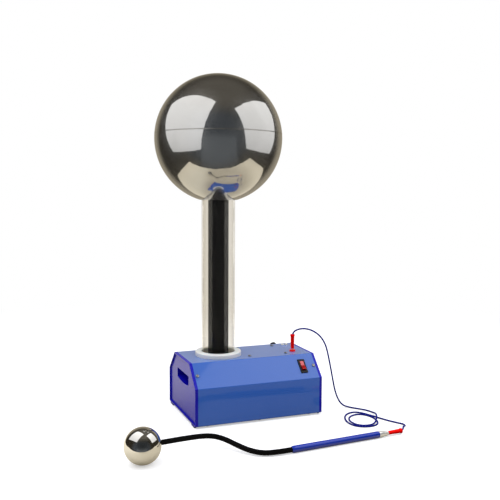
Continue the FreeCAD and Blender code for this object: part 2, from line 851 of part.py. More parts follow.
def collar_nut():
    """Ring nut that pulls the collar down on the roof from inside."""
    low = roof - ring_nut_height
    nut = tube(ring_nut_radius, spigot_radius + fit_gap, ring_nut_height, (column_x, 0, low))
    notches = []
    for i in range(ring_nut_notches):
        notch = box((ring_nut_radius - ring_nut_notch, -ring_nut_notch, low),
                    (ring_nut_radius + past, ring_nut_notch, low + ring_nut_height / 2))
        notch.rotate(vec(0, 0, 0), AXIS_Z, (i + 0.5) * 360 / ring_nut_notches)
        notch.translate(vec(column_x, 0, 0))
        notches.append(notch)
    return nut.cut(notches)


def column_tube():
    return tube(column_radius, column_radius - column_wall, column_top - column_bottom,
                (column_x, 0, column_bottom))


def belt():
    """Flat endless belt, two straight runs and half turns round the rollers."""
    def loop(radius):
        edges = [
            Part.makeLine(vec(0, -radius, upper_axis_z), vec(0, -radius, lower_axis_z)),
            Part.Arc(vec(0, -radius, lower_axis_z), vec(0, 0, lower_axis_z - radius),
                     vec(0, radius, lower_axis_z)).toShape(),
            Part.makeLine(vec(0, radius, lower_axis_z), vec(0, radius, upper_axis_z)),
            Part.Arc(vec(0, radius, upper_axis_z), vec(0, 0, upper_axis_z + radius),
                     vec(0, -radius, upper_axis_z)).toShape(),
        ]
        return Part.Face(Part.Wire(edges)).extrude(vec(belt_width, 0, 0))
    band = loop(belt_outer).cut(loop(belt_inner))
    band.translate(vec(column_x - belt_width / 2, 0, 0))
    return band


def roller(axis_z, pocket):
    """Crowned roller along X, with a bearing pocket in each end where pocket is true."""
    half = roller_length / 2
    flat = roller_flat / 2
    end_radius = roller_radius - roller_crown
    profile = [(shaft_radius, -half), (end_radius, -half), (roller_radius, -flat),
               (roller_radius, flat), (end_radius, half), (shaft_radius, half)]
    body = turned_points(profile)
    if pocket:
        for z in (-half, half - bearing_width):
            body = body.cut(rod(bearing_radius, bearing_width, (0, 0, z)))
    body.rotate(vec(0, 0, 0), AXIS_Y, 90)
    body.translate(vec(column_x, 0, axis_z))
    return body


# ---------------------------------------------------------------- drive in the housing
def drive_rod(radius, x_low, x_high):
    """Round bar on the drive's axis."""
    return rod(radius, x_high - x_low, (x_low, 0, lower_axis_z), AXIS_X)


def bracket_spots():
    reach_x = bracket_half - bracket_screw_side
    reach_y = bracket_depth / 2 - bracket_screw_edge
    return [(column_x + sx * reach_x, sy * reach_y) for sx in (-1, 1) for sy in (-1, 1)]


def roller_bracket():
    """Folded U that stands on the base plate and carries the lower roller."""
    low_x = column_x - bracket_outer
    high_x = column_x + bracket_outer
    half = bracket_depth / 2
    body = box((low_x, -half, plate_top), (high_x, half, lower_axis_z))
    body = body.fuse(drive_rod(half, low_x, high_x))
    inner = box((low_x + bracket_wall, -half, plate_top + bracket_wall),
                (high_x - bracket_wall, half, lower_axis_z + half))
    body = body.cut(inner).removeSplitter()
    holes = [drive_rod(bush_radius, low_x, high_x)]
    for x, y in bracket_spots():
        holes.append(rod(pan_shank + fit_gap, bracket_wall + 2 * past, (x, y, plate_top - past)))
    return body.cut(holes)


def bracket_screws():
    length = bracket_wall + plate + thread_end
    screws = []
    for x, y in bracket_spots():
        screw = pan_screw(pan_head_radius, pan_head_height, pan_shank, length, recess=False)
        screw.translate(vec(x, y, plate_top + bracket_wall))
        screws.append(screw)
    return Part.makeCompound(screws)


def lower_bushes():
    """Flanged bronze bushes in the bracket's two walls, flanges inwards."""
    bush = rod(bush_radius, bracket_wall + bush_overhang, (0, 0, 0))
    bush = bush.fuse(rod(bush_flange, bush_flange_thick, (0, 0, -bush_flange_thick)))
    length = bracket_wall + bush_overhang + bush_flange_thick
    bush = bush.cut(rod(shaft_radius + run_gap, length, (0, 0, -bush_flange_thick))).removeSplitter()
    bushes = []
    for side in (-1, 1):
        inner_face = vec(column_x + side * bracket_half, 0, lower_axis_z)
        bushes.append(placed_along(bush, inner_face, AXIS_X * side))
    return Part.makeCompound(bushes)


def lower_shaft():
    body = drive_rod(shaft_radius, shaft_left_x, shaft_right_x)
    return body.makeChamfer(shaft_chamfer, circles(body))


def shaft_coupling():
    """One-piece beam coupling between the roller shaft and the motor shaft."""
    middle = (shaft_right_x + motor_shaft_x) / 2
    low_x = column_x + bracket_outer + coupling_start
    high_x = 2 * middle - low_x
    body = drive_rod(coupling_radius, low_x, high_x)
    body = body.makeChamfer(shaft_chamfer, circles(body))
    cuts = [drive_rod(shaft_radius, low_x, high_x)]
    for i in range(coupling_slits):
        x = middle + (i - (coupling_slits - 1) / 2) * coupling_pitch
        side = 1 if i % 2 else -1
        edges = sorted((-side * (coupling_radius + past), side * (coupling_radius - coupling_bridge)))
        cuts.append(box((x - coupling_cut / 2, -coupling_radius, lower_axis_z + edges[0]),
                        (x + coupling_cut / 2, coupling_radius, lower_axis_z + edges[1])))
    return body.cut(cuts)


def comb(tip_y, root_y, z):
    """Toothed strip across the belt, its points at tip_y."""
    step = belt_width / comb_teeth
    low_x = column_x - belt_width / 2
    valley_y = tip_y + math.copysign(comb_tooth, root_y - tip_y)
    points = [(low_x, root_y)]
    for i in range(comb_teeth):
        points.append((low_x + i * step, valley_y))
        points.append((low_x + (i + 0.5) * step, tip_y))
    points.append((low_x + belt_width, valley_y))
    points.append((low_x + belt_width, root_y))
    corners = [vec(x, y, z) for x, y in points]
    return Part.Face(Part.makePolygon(corners + corners[:1])).extrude(vec(0, 0, comb_thick))


def comb_bar():
    """Insulating bar between the bracket's walls that holds the lower comb."""
    middle = (column_x, comb_bar_depth / 2 - comb_bar_front, lower_axis_z)
    bar = centered_box((2 * bracket_half, comb_bar_depth, comb_bar_height), middle)
    slit = (belt_width + 2 * fit_gap, comb_bar_depth, comb_thick + 2 * fit_gap)
    return bar.cut(centered_box(slit, middle))


def lower_comb():
    return comb(-comb_tip, -comb_bar_front, lower_axis_z - comb_thick / 2)


def motor_hanger():
    """Angle plate under the roof that carries the motor by its front."""
    half = hanger_depth / 2
    web_x = motor_face_x - hanger_thick
    top = box((hanger_low_x, -half, roof - hanger_thick), (hanger_high_x, half, roof))
    web = box((web_x, -motor_radius, roof - hanger_drop), (motor_face_x, motor_radius, roof))
    web = fillet_where(web, hanger_round,
                       lambda e: runs_along(e, AXIS_X) and lies_at(e, AXIS_Z, roof - hanger_drop))
    body = top.fuse(web).removeSplitter()
    through = hanger_thick + 2 * past
    below = roof - hanger_thick - past
    cuts = [rod(pan_shank + fit_gap, through, (x, y, below)) for x, y in roof_screw_spots()]
    cuts.append(drive_rod(bush_radius + fit_gap, web_x - past, motor_face_x + past))
    for side in (-1, 1):
        start = (web_x - past, side * motor_screw_circle, lower_axis_z)
        cuts.append(rod(motor_screw_radius + fit_gap, through, start, AXIS_X))
    return body.cut(cuts)


def hanger_screws():
    """Pan-head screws through the roof and the hanger, each with its nut below."""
    length = sheet + hanger_thick + nut_height + thread_end
    screw = pan_screw(pan_head_radius, pan_head_height, pan_shank, length)
    nut = hexagon(nut_half / math.cos(math.radians(30)), nut_height)
    nut.translate(vec(0, 0, -sheet - hanger_thick - nut_height))
    screw = screw.fuse(nut).removeSplitter()
    screws = []
    for x, y in roof_screw_spots():
        placed = screw.copy()
        placed.translate(vec(x, y, housing_top))
        screws.append(placed)
    return Part.makeCompound(screws)


def motor_bell():
    """Front bell of the motor, with the bearing boss that centres it in the hanger."""
    boss_x = motor_face_x - hanger_thick
    spigot_x = motor_can_x + bell_spigot
    body = fuse_all([drive_rod(motor_radius, motor_face_x, motor_can_x),
                     drive_rod(bush_radius, boss_x, motor_face_x),
                     drive_rod(motor_radius - motor_wall - fit_gap, motor_can_x, spigot_x)])
    cuts = [drive_rod(shaft_radius + run_gap, boss_x, spigot_x),
            drive_rod(commutator_radius + past, motor_can_x, spigot_x)]
    for side in (-1, 1):
        start = (motor_face_x, side * motor_screw_circle, lower_axis_z)
        cuts.append(rod(motor_screw_radius, bell_thick, start, AXIS_X))
    return body.cut(cuts)


def motor_can():
    """Drawn steel can with air slots and a bearing boss in its closed end."""
    end_wall_x = motor_end_x - motor_wall
    body = drive_rod(motor_radius, motor_can_x, motor_end_x)
    body = fillet_where(body, can_round, lambda e: lies_at(e, AXIS_X, motor_end_x))
    body = body.cut(drive_rod(motor_radius - motor_wall, motor_can_x, end_wall_x))
    body = body.fuse(drive_rod(bush_flange, end_wall_x - can_boss, end_wall_x + motor_wall / 2))
    cuts = [drive_rod(shaft_radius + run_gap, end_wall_x - can_boss - past, end_wall_x)]
    slot_high_x = motor_end_x - can_slot_inset
    slot = box((slot_high_x - can_slot_length, -can_slot_width / 2, motor_radius - motor_wall - past),
               (slot_high_x, can_slot_width / 2, motor_radius + past))
    cuts += around_x(slot, can_slot_count, lower_axis_z, 180 / can_slot_count)
    return body.cut(cuts)


def motor_field():
    """Field core pressed into the can round the armature."""
    outer = motor_radius - motor_wall - fit_gap
    core_end = core_x + core_length
    ring = drive_rod(outer, core_x, core_end).cut(drive_rod(outer - field_wall, core_x, core_end))
    flats = [centered_box((core_length, 2 * outer, 2 * field_flat),
                          (core_x + core_length / 2, 0, lower_axis_z + side * outer)) for side in (-1, 1)]
    return ring.cut(flats)


def motor_armature():
    """Shaft with its laminated core, commutator and fan."""
    core_end = core_x + core_length
    shaft = drive_rod(shaft_radius, motor_shaft_x, motor_end_x - motor_wall - thrust_gap)
    slot = box((core_x, -core_slot_width / 2, core_radius - core_slot_depth),
               (core_end, core_slot_width / 2, core_radius + past))
    core = drive_rod(core_radius, core_x, core_end).cut(around_x(slot, core_slots, lower_axis_z))
    drum_x = core_x - commutator_length - fan_gap
    drum = drive_rod(commutator_radius, drum_x, drum_x + commutator_length)
    fan_x = core_end + fan_gap
    hub = drive_rod(fan_hub, fan_x, fan_x + fan_thick)
    blade = box((fan_x, -fan_blade_thick / 2, 0), (fan_x + fan_thick, fan_blade_thick / 2, fan_radius))
    return fuse_all([shaft, core, drum, hub] + around_x(blade, fan_blades, lower_axis_z))


def motor_screws():
    length = hanger_thick + bell_thick - thread_end
    screws = []
    for side in (-1, 1):
        screw = pan_screw(motor_head_radius, motor_head_height, motor_screw_radius, length, recess=False)
        screw.rotate(vec(0, 0, 0), AXIS_Y, -90)
        screw.translate(vec(motor_face_x - hanger_thick, side * motor_screw_circle, lower_axis_z))
        screws.append(screw)
    return Part.makeCompound(screws)


# ---------------------------------------------------------------- head of the column
def upper_frame():
    """Moulded cap on the column with two ears that carry the upper axle."""
    bore = column_radius + fit_gap
    outer = bore + ring_cap_wall
    top = column_top + ring_cap_top
    low = column_top - ring_cap_skirt
    profile = [(bore, low), (outer, low), (outer, top), (ring_cap_bore, top),
               (ring_cap_bore, column_top), (bore, column_top)]
    pieces = [turned_points(profile, (column_x, 0))]
    half = ear_width / 2
    root = column_top + ring_cap_top / 2
    for side in (-1, 1):
        xs = sorted((column_x + side * frame_half, column_x + side * (frame_half + ear_thick)))
        sides = [(-half, root), (-ear_round, upper_axis_z), (ear_round, upper_axis_z), (half, root)]
        pieces.append(prism_x(sides, xs[0], xs[1]))
        pieces.append(rod(ear_round, ear_thick, (xs[0], 0, upper_axis_z), AXIS_X))
    body = fuse_all(pieces)
    reach = frame_half + ear_thick + past
    return body.cut(rod(axle_radius + press_gap, 2 * reach, (column_x - reach, 0, upper_axis_z), AXIS_X))


def upper_axle():
    half = frame_half + ear_thick + axle_overhang
    body = rod(axle_radius, 2 * half, (column_x - half, 0, upper_axis_z), AXIS_X)
    return body.makeChamfer(shaft_chamfer, circles(body))


def upper_bearings():
    """Ball bearings pressed into the roller's ends; they turn on the fixed axle."""
    half = roller_length / 2
    return Part.makeCompound([
        tube(bearing_radius, axle_radius + run_gap, bearing_width, (column_x + x, 0, upper_axis_z), AXIS_X)
        for x in (-half, half - bearing_width)])


def upper_comb():
    """Bent brass comb on the head of the column, facing the belt's rear."""
    low_x = column_x - belt_width / 2
    high_x = column_x + belt_width / 2
    seat = column_top + ring_cap_top
    foot = box((low_x, comb_post_y, seat), (high_x, comb_post_y + comb_foot, seat + comb_thick))
    foot = foot.common(rod(column_radius + ring_cap_wall, comb_thick, (column_x, 0, seat)))
    post = box((low_x, comb_post_y, seat), (high_x, comb_post_y + comb_thick, upper_axis_z + comb_thick))
    return fuse_all([foot, post, comb(comb_tip, comb_post_y + comb_thick, upper_axis_z)])


def collector_strap():
    """Brass strip from the comb's foot down the column to the neck clamp."""
    outer = clamp_bore + clamp_thick
    low = clamp_z + clamp_height / 2
    high = column_top + ring_cap_top + 2 * comb_thick
    half = strap_width / 2
    foot = box((column_x - half, comb_post_y + comb_thick, high - comb_thick),
               (column_x + half, outer + comb_thick, high))
    drop = box((column_x - half, outer, low), (column_x + half, outer + comb_thick, high))
    return foot.fuse(drop).removeSplitter()


# ---------------------------------------------------------------- sphere
def shell_angle(radius, z):
    """Angle above the horizontal at which a circle about the sphere's centre reaches z."""
    return math.degrees(math.asin((z - sphere_z) / radius))


def rim_point(radius, z):
    return (math.sqrt(radius ** 2 - (z - sphere_z) ** 2), z)


def lower_shell():
    """Spun lower shell with its neck turned in along the column."""
    inner_radius = sphere_radius - shell
    center = (0, sphere_z)
    roll_center = (roll_radius, roll_z)
    roll_angle = math.degrees(math.atan2(roll_z - sphere_z, roll_radius))
    edges = [
        line((neck_bore, neck_top), (neck_bore, roll_z)),
        arc(roll_center, neck_roll, 180, 360 + roll_angle),
        arc(center, sphere_radius, roll_angle, shell_angle(sphere_radius, seam_z)),
        line(rim_point(sphere_radius, seam_z), rim_point(inner_radius, seam_z)),
        arc(center, inner_radius, shell_angle(inner_radius, seam_z), roll_angle),
        arc(roll_center, neck_roll - shell, 360 + roll_angle, 180),
        line((neck_bore + shell, roll_z), (neck_bore + shell, neck_top)),
        line((neck_bore + shell, neck_top), (neck_bore, neck_top)),
    ]
    return turned(edges, (column_x, 0))


def upper_shell():
    """Spun upper shell, which lifts off the locating ring."""
    low = seam_z + seam_gap
    inner_radius = sphere_radius - shell
    center = (0, sphere_z)
    edges = [
        line(rim_point(inner_radius, low), rim_point(sphere_radius, low)),
        arc(center, sphere_radius, shell_angle(sphere_radius, low), 90),
        line((0, sphere_z + sphere_radius), (0, sphere_z + inner_radius)),
        arc(center, inner_radius, 90, shell_angle(inner_radius, low)),
    ]
    return turned(edges, (column_x, 0))


def locating_ring():
    """Stepped ring inside the lower shell's rim; the upper shell drops over it."""
    inner_radius = sphere_radius - shell
    low = seam_z - locating_low
    step = seam_z - locating_step
    high = seam_z + locating_high
    seat = rim_point(inner_radius, step)[0] - press_gap
    guide = rim_point(inner_radius, high)[0] - locating_gap
    inner = guide - locating_wall
    profile = [(inner, low), (seat, low), (seat, step), (guide, step), (guide, high), (inner, high)]
    return turned_points(profile, (column_x, 0))


def neck_clamp():
    """Band clip that grips the turned-in neck on the column."""
    band = tube(clamp_bore + clamp_thick, clamp_bore, clamp_height, (column_x, 0, clamp_z))
    lug = box((column_x - lug_half, -clamp_bore - lug_reach, clamp_z),
              (column_x + lug_half, -clamp_bore, clamp_z + clamp_height))
    lug = lug.cut(rod(clamp_bore + clamp_thick / 2, clamp_height, (column_x, 0, clamp_z)))
    start = (column_x - clamp_screw_length / 2, -clamp_bore - clamp_screw_out, clamp_z + clamp_height / 2)
    screw = rod(clamp_screw_radius, clamp_screw_length, start, AXIS_X)
    return fuse_all([band, lug, screw])


# ---------------------------------------------------------------- fittings
def dome_studs():
    """Pair of domed screws that hold the board's angle under the roof."""
    center_drop = (stud_radius ** 2 - stud_height ** 2) / (2 * stud_height)
    shank = sheet + angle_thick + stud_tail
    dome = Part.makeSphere(stud_height + center_drop, vec(0, 0, -center_drop))
    dome = dome.common(rod(2 * stud_radius, stud_height, (0, 0, 0)))
    stud = dome.fuse(rod(pan_shank, shank, (0, 0, -shank))).removeSplitter()
    studs = []
    for x in stud_x:
        placed = stud.copy()
        placed.translate(vec(x, stud_y, housing_top))
        studs.append(placed)
    return Part.makeCompound(studs)


board_back_y = stud_y + angle_half - angle_thick


def board_angle():
    """Aluminium angle under the studs that carries the control board."""
    low_x = hanger_high_x + angle_gap
    high_x = max(stud_x) + pan_shank
    top = box((low_x, stud_y - angle_half, roof - angle_thick), (high_x, stud_y + angle_half, roof))
    web = box((low_x, board_back_y, roof - board_web), (board_high_x, board_back_y + angle_thick, roof))
    body = top.fuse(web).removeSplitter()
    through = angle_thick + 2 * past
    holes = [rod(pan_shank + fit_gap, through, (x, stud_y, roof - angle_thick - past)) for x in stud_x]
    return body.cut(holes)


def control_board():
    """Speed control board with its capacitor, choke and heat sink."""
    high = roof - board_top
    low = high - board_height
    front = board_back_y - board_thick
    root = front + board_thick / 4
    board = box((board_low_x, front, low), (board_high_x, board_back_y, high))
    capacitor_inset = capacitor_radius + part_margin
    choke_inset = choke_radius + part_margin
    parts = [board]
    parts.append(rod(capacitor_radius, capacitor_length,
                     (board_low_x + capacitor_inset, root, low + capacitor_inset), AXIS_Y * -1))
    parts.append(rod(choke_radius, choke_length,
                     (board_high_x - choke_inset, root, low + choke_inset), AXIS_Y * -1))
    fin_high = high - part_margin
    for i in range(fin_count):
        x = board_low_x + part_margin + i * fin_pitch
        parts.append(box((x, front - fin_depth, fin_high - fin_height), (x + fin_thick, root, fin_high)))
    return fuse_all(parts)


def earth_socket():
    """Red insulated 4 mm socket in the roof."""
    flange = rod(socket_flange, socket_flange_height, (0, 0, 0))
    flange = fillet_where(flange, socket_flange_round,
                          lambda e: is_circle(e, socket_flange, socket_flange_height))
    body = flange.fuse(rod(socket_body, socket_drop, (0, 0, -socket_drop)))
    bore_low = socket_floor - socket_drop
    body = body.cut(rod(socket_bore, socket_flange_height + past - bore_low, (0, 0, bore_low)))
    body.translate(vec(socket_x, socket_y, housing_top))
    return body


def earth_socket_nut():
    """Hexagon nut on the socket under the roof."""
    nut = hexagon(socket_nut, socket_nut_height)
    nut = nut.cut(rod(socket_body + press_gap, socket_nut_height, (0, 0, 0)))
    nut.translate(vec(socket_x, socket_y, roof - socket_nut_height))
    return nut


def switch_body():
    """Black bezel and body of the rocker switch, open on top for the rocker."""
    half_w = bezel_width / 2
    half_l = bezel_length / 2
    bezel = box((-half_w, -half_l, 0), (half_w, half_l, bezel_height))
    bezel = fillet_where(bezel, bezel_round, lambda e: lies_at(e, AXIS_Z, bezel_height))
    case_w, case_l = switch_outline(0)
    body = bezel.fuse(box((-case_w, -case_l, -body_depth), (case_w, case_l, 0))).removeSplitter()
    well_w = half_w - bezel_side
    well_l = half_l - bezel_end
    well = box((-well_w, -well_l, body_floor - body_depth), (well_w, well_l, bezel_height + past))
    reach = well_w + rocker_pin_reach
    pin_holes = rod(rocker_pin + run_gap, 2 * reach, (-reach, 0, 0), AXIS_X)
    return on_front_slope(body.cut([well, pin_holes]), switch_x, switch_up)


def switch_rocker():
    """Clear red rocker with two inclined faces; its upper half is pressed in."""
    half_w = bezel_width / 2 - bezel_side - rocker_gap
    half_l = bezel_length / 2 - bezel_end - 3 * rocker_gap
    crest = rocker_rise - half_l * math.tan(math.radians(rocker_angle))
    points = [(-half_l, rocker_rise), (0, crest), (half_l, rocker_rise),
              (half_l - rocker_draft, -rocker_heel), (rocker_keel, -rocker_depth),
              (-rocker_keel, -rocker_depth), (-half_l + rocker_draft, -rocker_heel)]
    body = prism_x(points, -half_w, half_w)
    body = fillet_where(body, rocker_round,
                        lambda e: runs_along(e, AXIS_X) and lies_at(e, AXIS_Z, rocker_rise))
    reach = half_w + rocker_pin_reach
    body = body.fuse(rod(rocker_pin, 2 * reach, (-reach, 0, 0), AXIS_X)).removeSplitter()
    body.rotate(vec(0, 0, 0), AXIS_X, -rocker_angle)
    return on_front_slope(body, switch_x, switch_up)


def switch_tabs():
    tabs = []
    for y in (-tab_spread, 0, tab_spread):
        tab = centered_box((tab_width, tab_thick, tab_length), (0, y, -body_depth - tab_length / 2))
        tabs.append(on_front_slope(tab, switch_x, switch_up))
    return Part.makeCompound(tabs)


def potentiometer():
    """Speed potentiometer under the rear slope, with its bushing through the sheet."""
    can = rod(pot_radius, pot_height, (0, 0, -sheet - pot_height))
    bushing = rod(pot_bushing, sheet + pot_bushing_rise, (0, 0, -sheet))
    bore_low = -sheet - pot_shaft_depth
    bore = rod(pot_shaft + run_gap, pot_bushing_rise - bore_low, (0, 0, bore_low))
    return on_rear_slope(fuse_all([can, bushing]).cut(bore), knob_x, knob_up)


def pot_spindle():
    low = run_gap - sheet - pot_shaft_depth
    high = knob_lift + knob_height - knob_crown
    return on_rear_slope(rod(pot_shaft, high - low, (0, 0, low)), knob_x, knob_up)


def speed_knob():
    """Black domed knob with a pointer groove and fine flutes."""
    body = rod(knob_radius, knob_height, (0, 0, 0))
    body = fillet_where(body, knob_round, lambda e: is_circle(e, knob_radius, knob_height))
    body = body.cut(rod(pot_shaft, knob_height - knob_crown, (0, 0, 0)))
    body = body.cut(rod(pot_bushing + knob_skirt, pot_bushing_rise, (0, 0, 0)))
    pointer = box((-pointer_width / 2, pointer_start, knob_height - pointer_sink),
                  (pointer_width / 2, knob_radius + past, knob_height + past))
    pointer.rotate(vec(0, 0, 0), AXIS_Z, knob_rest)
    cuts = [pointer]
    for i in range(flute_count):
        flute = rod(flute_radius, knob_height - knob_round, (knob_radius + flute_out, 0, 0))
        flute.rotate(vec(0, 0, 0), AXIS_Z, (i + 0.5) * 360 / flute_count)
        cuts.append(flute)
    body = body.cut(cuts)
    body.translate(vec(0, 0, knob_lift))
    return on_rear_slope(body, knob_x, knob_up)


def inlet_block(size, y_low, y_high):
    half_w, half_h = size[0] / 2, size[1] / 2
    return box((inlet_x - half_w, y_low, inlet_z - half_h), (inlet_x + half_w, y_high, inlet_z + half_h))


def mains_inlet():
    """Three-pin mains inlet in the rear wall."""
    face = half_depth + inlet_flange_thick
    flange = inlet_block(inlet_flange, half_depth, face)
    flange = fillet_where(flange, inlet_flange_round, lambda e: lies_at(e, AXIS_Y, face))
    body = flange.fuse(inlet_block(inlet_body, half_depth - inlet_depth, half_depth)).removeSplitter()
    mouth = inlet_block(inlet_mouth, face - inlet_mouth_depth, face + past)
    corners = [e for e in mouth.Edges if runs_along(e, AXIS_Y) and e.Vertexes[0].Z > inlet_z]
    return body.cut(mouth.makeChamfer(inlet_corner, corners))


def inlet_pins():
    wide, tall = inlet_pin
    middle_y = half_depth + inlet_flange_thick - inlet_mouth_depth + inlet_pin_length / 2
    places = [(-inlet_pin_spread, inlet_pin_low), (0, inlet_pin_high), (inlet_pin_spread, inlet_pin_low)]
    pins = []
    for dx, dz in places:
        pins.append(centered_box((wide, inlet_pin_length, tall), (inlet_x + dx, middle_y, inlet_z + dz)))
    return Part.makeCompound(pins)


# ---------------------------------------------------------------- lead and its plugs
def plug_sleeve():
    """Tapered sleeve along +Z from its front end, flared at the rear, hollow for the lead."""
    rim_low = plug_length - plug_rim_length
    mouth_low = plug_length - plug_mouth_depth
    bore = pin_radius + pin_fit
    profile = [(bore, 0), (plug_front_radius - plug_nose_step, 0), (plug_front_radius, plug_nose),
               (plug_rear_radius, rim_low - plug_nose), (plug_rim, rim_low),
               (plug_rim, plug_length - plug_rim_chamfer), (plug_rim - plug_rim_chamfer, plug_length),
               (plug_mouth, plug_length), (plug_mouth - plug_mouth_taper, mouth_low), (bore, mouth_low)]
    return turned_points(profile)


def plug_pin():
    """Sprung 4 mm pin in front of the sleeve, with its tail inside."""
    tail = plug_length - plug_mouth_depth
    profile = [(0, -pin_length), (pin_tip, -pin_length), (pin_waist, pin_taper - pin_length),
               (pin_waist, 2 * pin_taper - pin_length), (pin_radius, 3 * pin_taper - pin_length),
               (pin_radius, tail), (0, tail)]
    return turned_points(profile)


def plug_a(piece):
    return placed_along(piece, vec(socket_x, socket_y, plug_a_z), AXIS_Z)


def plug_b(piece):
    start = grip_end + wand_dir * (ferrule_length + plug_b_gap)
    return placed_along(piece, start, wand_dir)


def lead_coil():
    """Outer shape of the two loose loops on the table."""
    def oval(half_x, half_y):
        curve = Part.Ellipse(vec(0, 0, 0), half_y, half_x)
        solid = Part.Face(Part.Wire(curve.toShape())).extrude(vec(0, 0, coil_height))
        solid.rotate(vec(0, 0, 0), AXIS_Z, 90)
        solid.translate(vec(coil_center[0], coil_center[1], 0))
        return solid
    return oval(*coil_outer).cut(oval(*coil_inner))


# ---------------------------------------------------------------- discharge wand
def wand_ball():
    """Hollow ball with a threaded boss for the flexible neck."""
    boss_start = (0, 0, ball_radius - ball_boss_length)
    hollow = Part.makeSphere(ball_radius - ball_wall).cut(rod(ball_boss, ball_radius, boss_start))
    bore = rod(neck_radius + press_gap, ball_radius, (0, 0, boss_start[2] - past))
    body = Part.makeSphere(ball_radius).cut(hollow).cut(bore)
    return placed_along(body, ball_center, neck_dir)


def wand_neck():
    start = ball_center + neck_dir * (ball_radius - neck_in_ball)
    run_in = grip_start - wand_dir * neck_run_in
    route = [tuple(start)] + neck_route + [tuple(run_in), tuple(grip_start + wand_dir * neck_in_handle)]
    return flexible(route, neck_radius, "wand_neck")


def wand_handle():
    """Moulded grip with a rounded nose and a square-cut end."""
    shoulder = handle_nose + handle_chamfer
    profile = [(0, 0), (handle_radius - handle_nose, 0), (handle_radius - handle_step, handle_chamfer),
               (handle_radius, shoulder), (handle_radius, handle_length - handle_chamfer),
               (handle_radius - handle_chamfer, handle_length), (0, handle_length)]
    body = turned_points(profile)
    body = body.cut(rod(neck_radius + press_gap, handle_bore_depth, (0, 0, 0)))
    return placed_along(body, grip_start, wand_dir)


def wand_ferrule():
    """Plated socket in the end of the grip."""
    profile = [(0, 0), (ferrule_rear, 0), (ferrule_rear, ferrule_flat),
               (ferrule_front + ferrule_step, ferrule_flat + ferrule_cone),
               (ferrule_front, ferrule_length - ferrule_chamfer),
               (ferrule_front - ferrule_chamfer, ferrule_length), (0, ferrule_length)]
    body = turned_points(profile)
    body = body.cut(rod(socket_bore, ferrule_bore_depth, (0, 0, ferrule_length - ferrule_bore_depth)))
    return placed_along(body, grip_end, wand_dir)


# ---------------------------------------------------------------- export
left_cap = end_cap()
nodes = {
    "end_cap_left": left_cap,
    "end_cap_right": left_cap.mirror(vec(0, 0, 0), AXIS_X),
    "rubber_feet": rubber_feet(),
    "cover": cover(),
    "cover_screws": cover_screws(),
    "base_plate": base_plate(),
    "base_screws": base_screws(),
    "collar": collar(),
    "collar_nut": collar_nut(),
    "column_tube": column_tube(),
    "belt": belt(),
    "lower_roller": roller(lower_axis_z, False),
    "lower_shaft": lower_shaft(),
    "lower_bushes": lower_bushes(),
    "roller_bracket": roller_bracket(),
    "bracket_screws": bracket_screws(),
    "comb_bar": comb_bar(),
    "lower_comb": lower_comb(),
    "shaft_coupling": shaft_coupling(),
    "motor_hanger": motor_hanger(),
    "hanger_screws": hanger_screws(),
    "motor_bell": motor_bell(),
    "motor_can": motor_can(),
    "motor_field": motor_field(),
    "motor_armature": motor_armature(),
    "motor_screws": motor_screws(),
    "upper_frame": upper_frame(),
    "upper_axle": upper_axle(),
    "upper_roller": roller(upper_axis_z, True),
    "upper_bearings": upper_bearings(),
    "upper_comb": upper_comb(),
    "collector_strap": collector_strap(),
    "lower_shell": lower_shell(),
    "locating_ring": locating_ring(),
    "neck_clamp": neck_clamp(),
    "upper_shell": upper_shell(),
    "dome_studs": dome_studs(),
    "board_angle": board_angle(),
    "control_board": control_board(),
    "earth_socket": earth_socket(),
    "earth_socket_nut": earth_socket_nut(),
    "switch_body": switch_body(),
    "switch_rocker": switch_rocker(),
    "switch_tabs": switch_tabs(),
    "potentiometer": potentiometer(),
    "pot_spindle": pot_spindle(),
    "speed_knob": speed_knob(),
    "mains_inlet": mains_inlet(),
    "inlet_pins": inlet_pins(),
    "plug_a_sleeve": plug_a(plug_sleeve()),
    "plug_a_pin": plug_a(plug_pin()),
    "lead_run_a": flexible(lead_a_route, lead_diameter / 2, "lead_run_a"),
    "lead_coil": lead_coil(),
    "lead_run_b": flexible(lead_b_route, lead_diameter / 2, "lead_run_b"),
    "plug_b_sleeve": plug_b(plug_sleeve()),
    "plug_b_pin": plug_b(plug_pin()),
    "wand_ball": wand_ball(),
    "wand_neck": wand_neck(),
    "wand_handle": wand_handle(),
    "wand_ferrule": wand_ferrule(),
}

os.makedirs("parts", exist_ok=True)
for name, shape in nodes.items():
    shape.translate(vec(shift_x, shift_y, 0))
    shape.exportStep(os.path.join("parts", name + ".step"))
    print(name, len(shape.Solids), "solid(s), valid", shape.isValid(), "volume", round(shape.Volume, 1))
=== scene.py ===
import math
import bmesh
import bpy
from mathutils import Matrix, Vector


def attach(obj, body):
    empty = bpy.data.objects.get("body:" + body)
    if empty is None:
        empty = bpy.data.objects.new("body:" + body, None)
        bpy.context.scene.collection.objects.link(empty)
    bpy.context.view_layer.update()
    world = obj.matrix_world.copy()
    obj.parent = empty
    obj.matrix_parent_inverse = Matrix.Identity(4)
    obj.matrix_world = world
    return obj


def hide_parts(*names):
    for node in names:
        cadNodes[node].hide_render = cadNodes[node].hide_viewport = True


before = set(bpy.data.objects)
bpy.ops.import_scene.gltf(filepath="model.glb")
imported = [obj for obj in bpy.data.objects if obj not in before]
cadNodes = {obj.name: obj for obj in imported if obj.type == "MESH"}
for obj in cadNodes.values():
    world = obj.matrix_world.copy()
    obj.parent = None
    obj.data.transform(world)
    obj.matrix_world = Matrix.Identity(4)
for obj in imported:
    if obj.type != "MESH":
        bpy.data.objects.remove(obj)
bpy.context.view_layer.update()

# Table-top Van de Graaff generator with its discharge wand and test lead, in metres.
# The frame holds its solids: each gets its finish here, and the polished, moulded and
# flexible pieces are built again with finer surfaces on the same places.

columnFoot = Vector((-0.00326, 0.07757, 0))      # axis of column, belt and sphere on the ground
print("frame loaded:", len(cadNodes), "nodes")


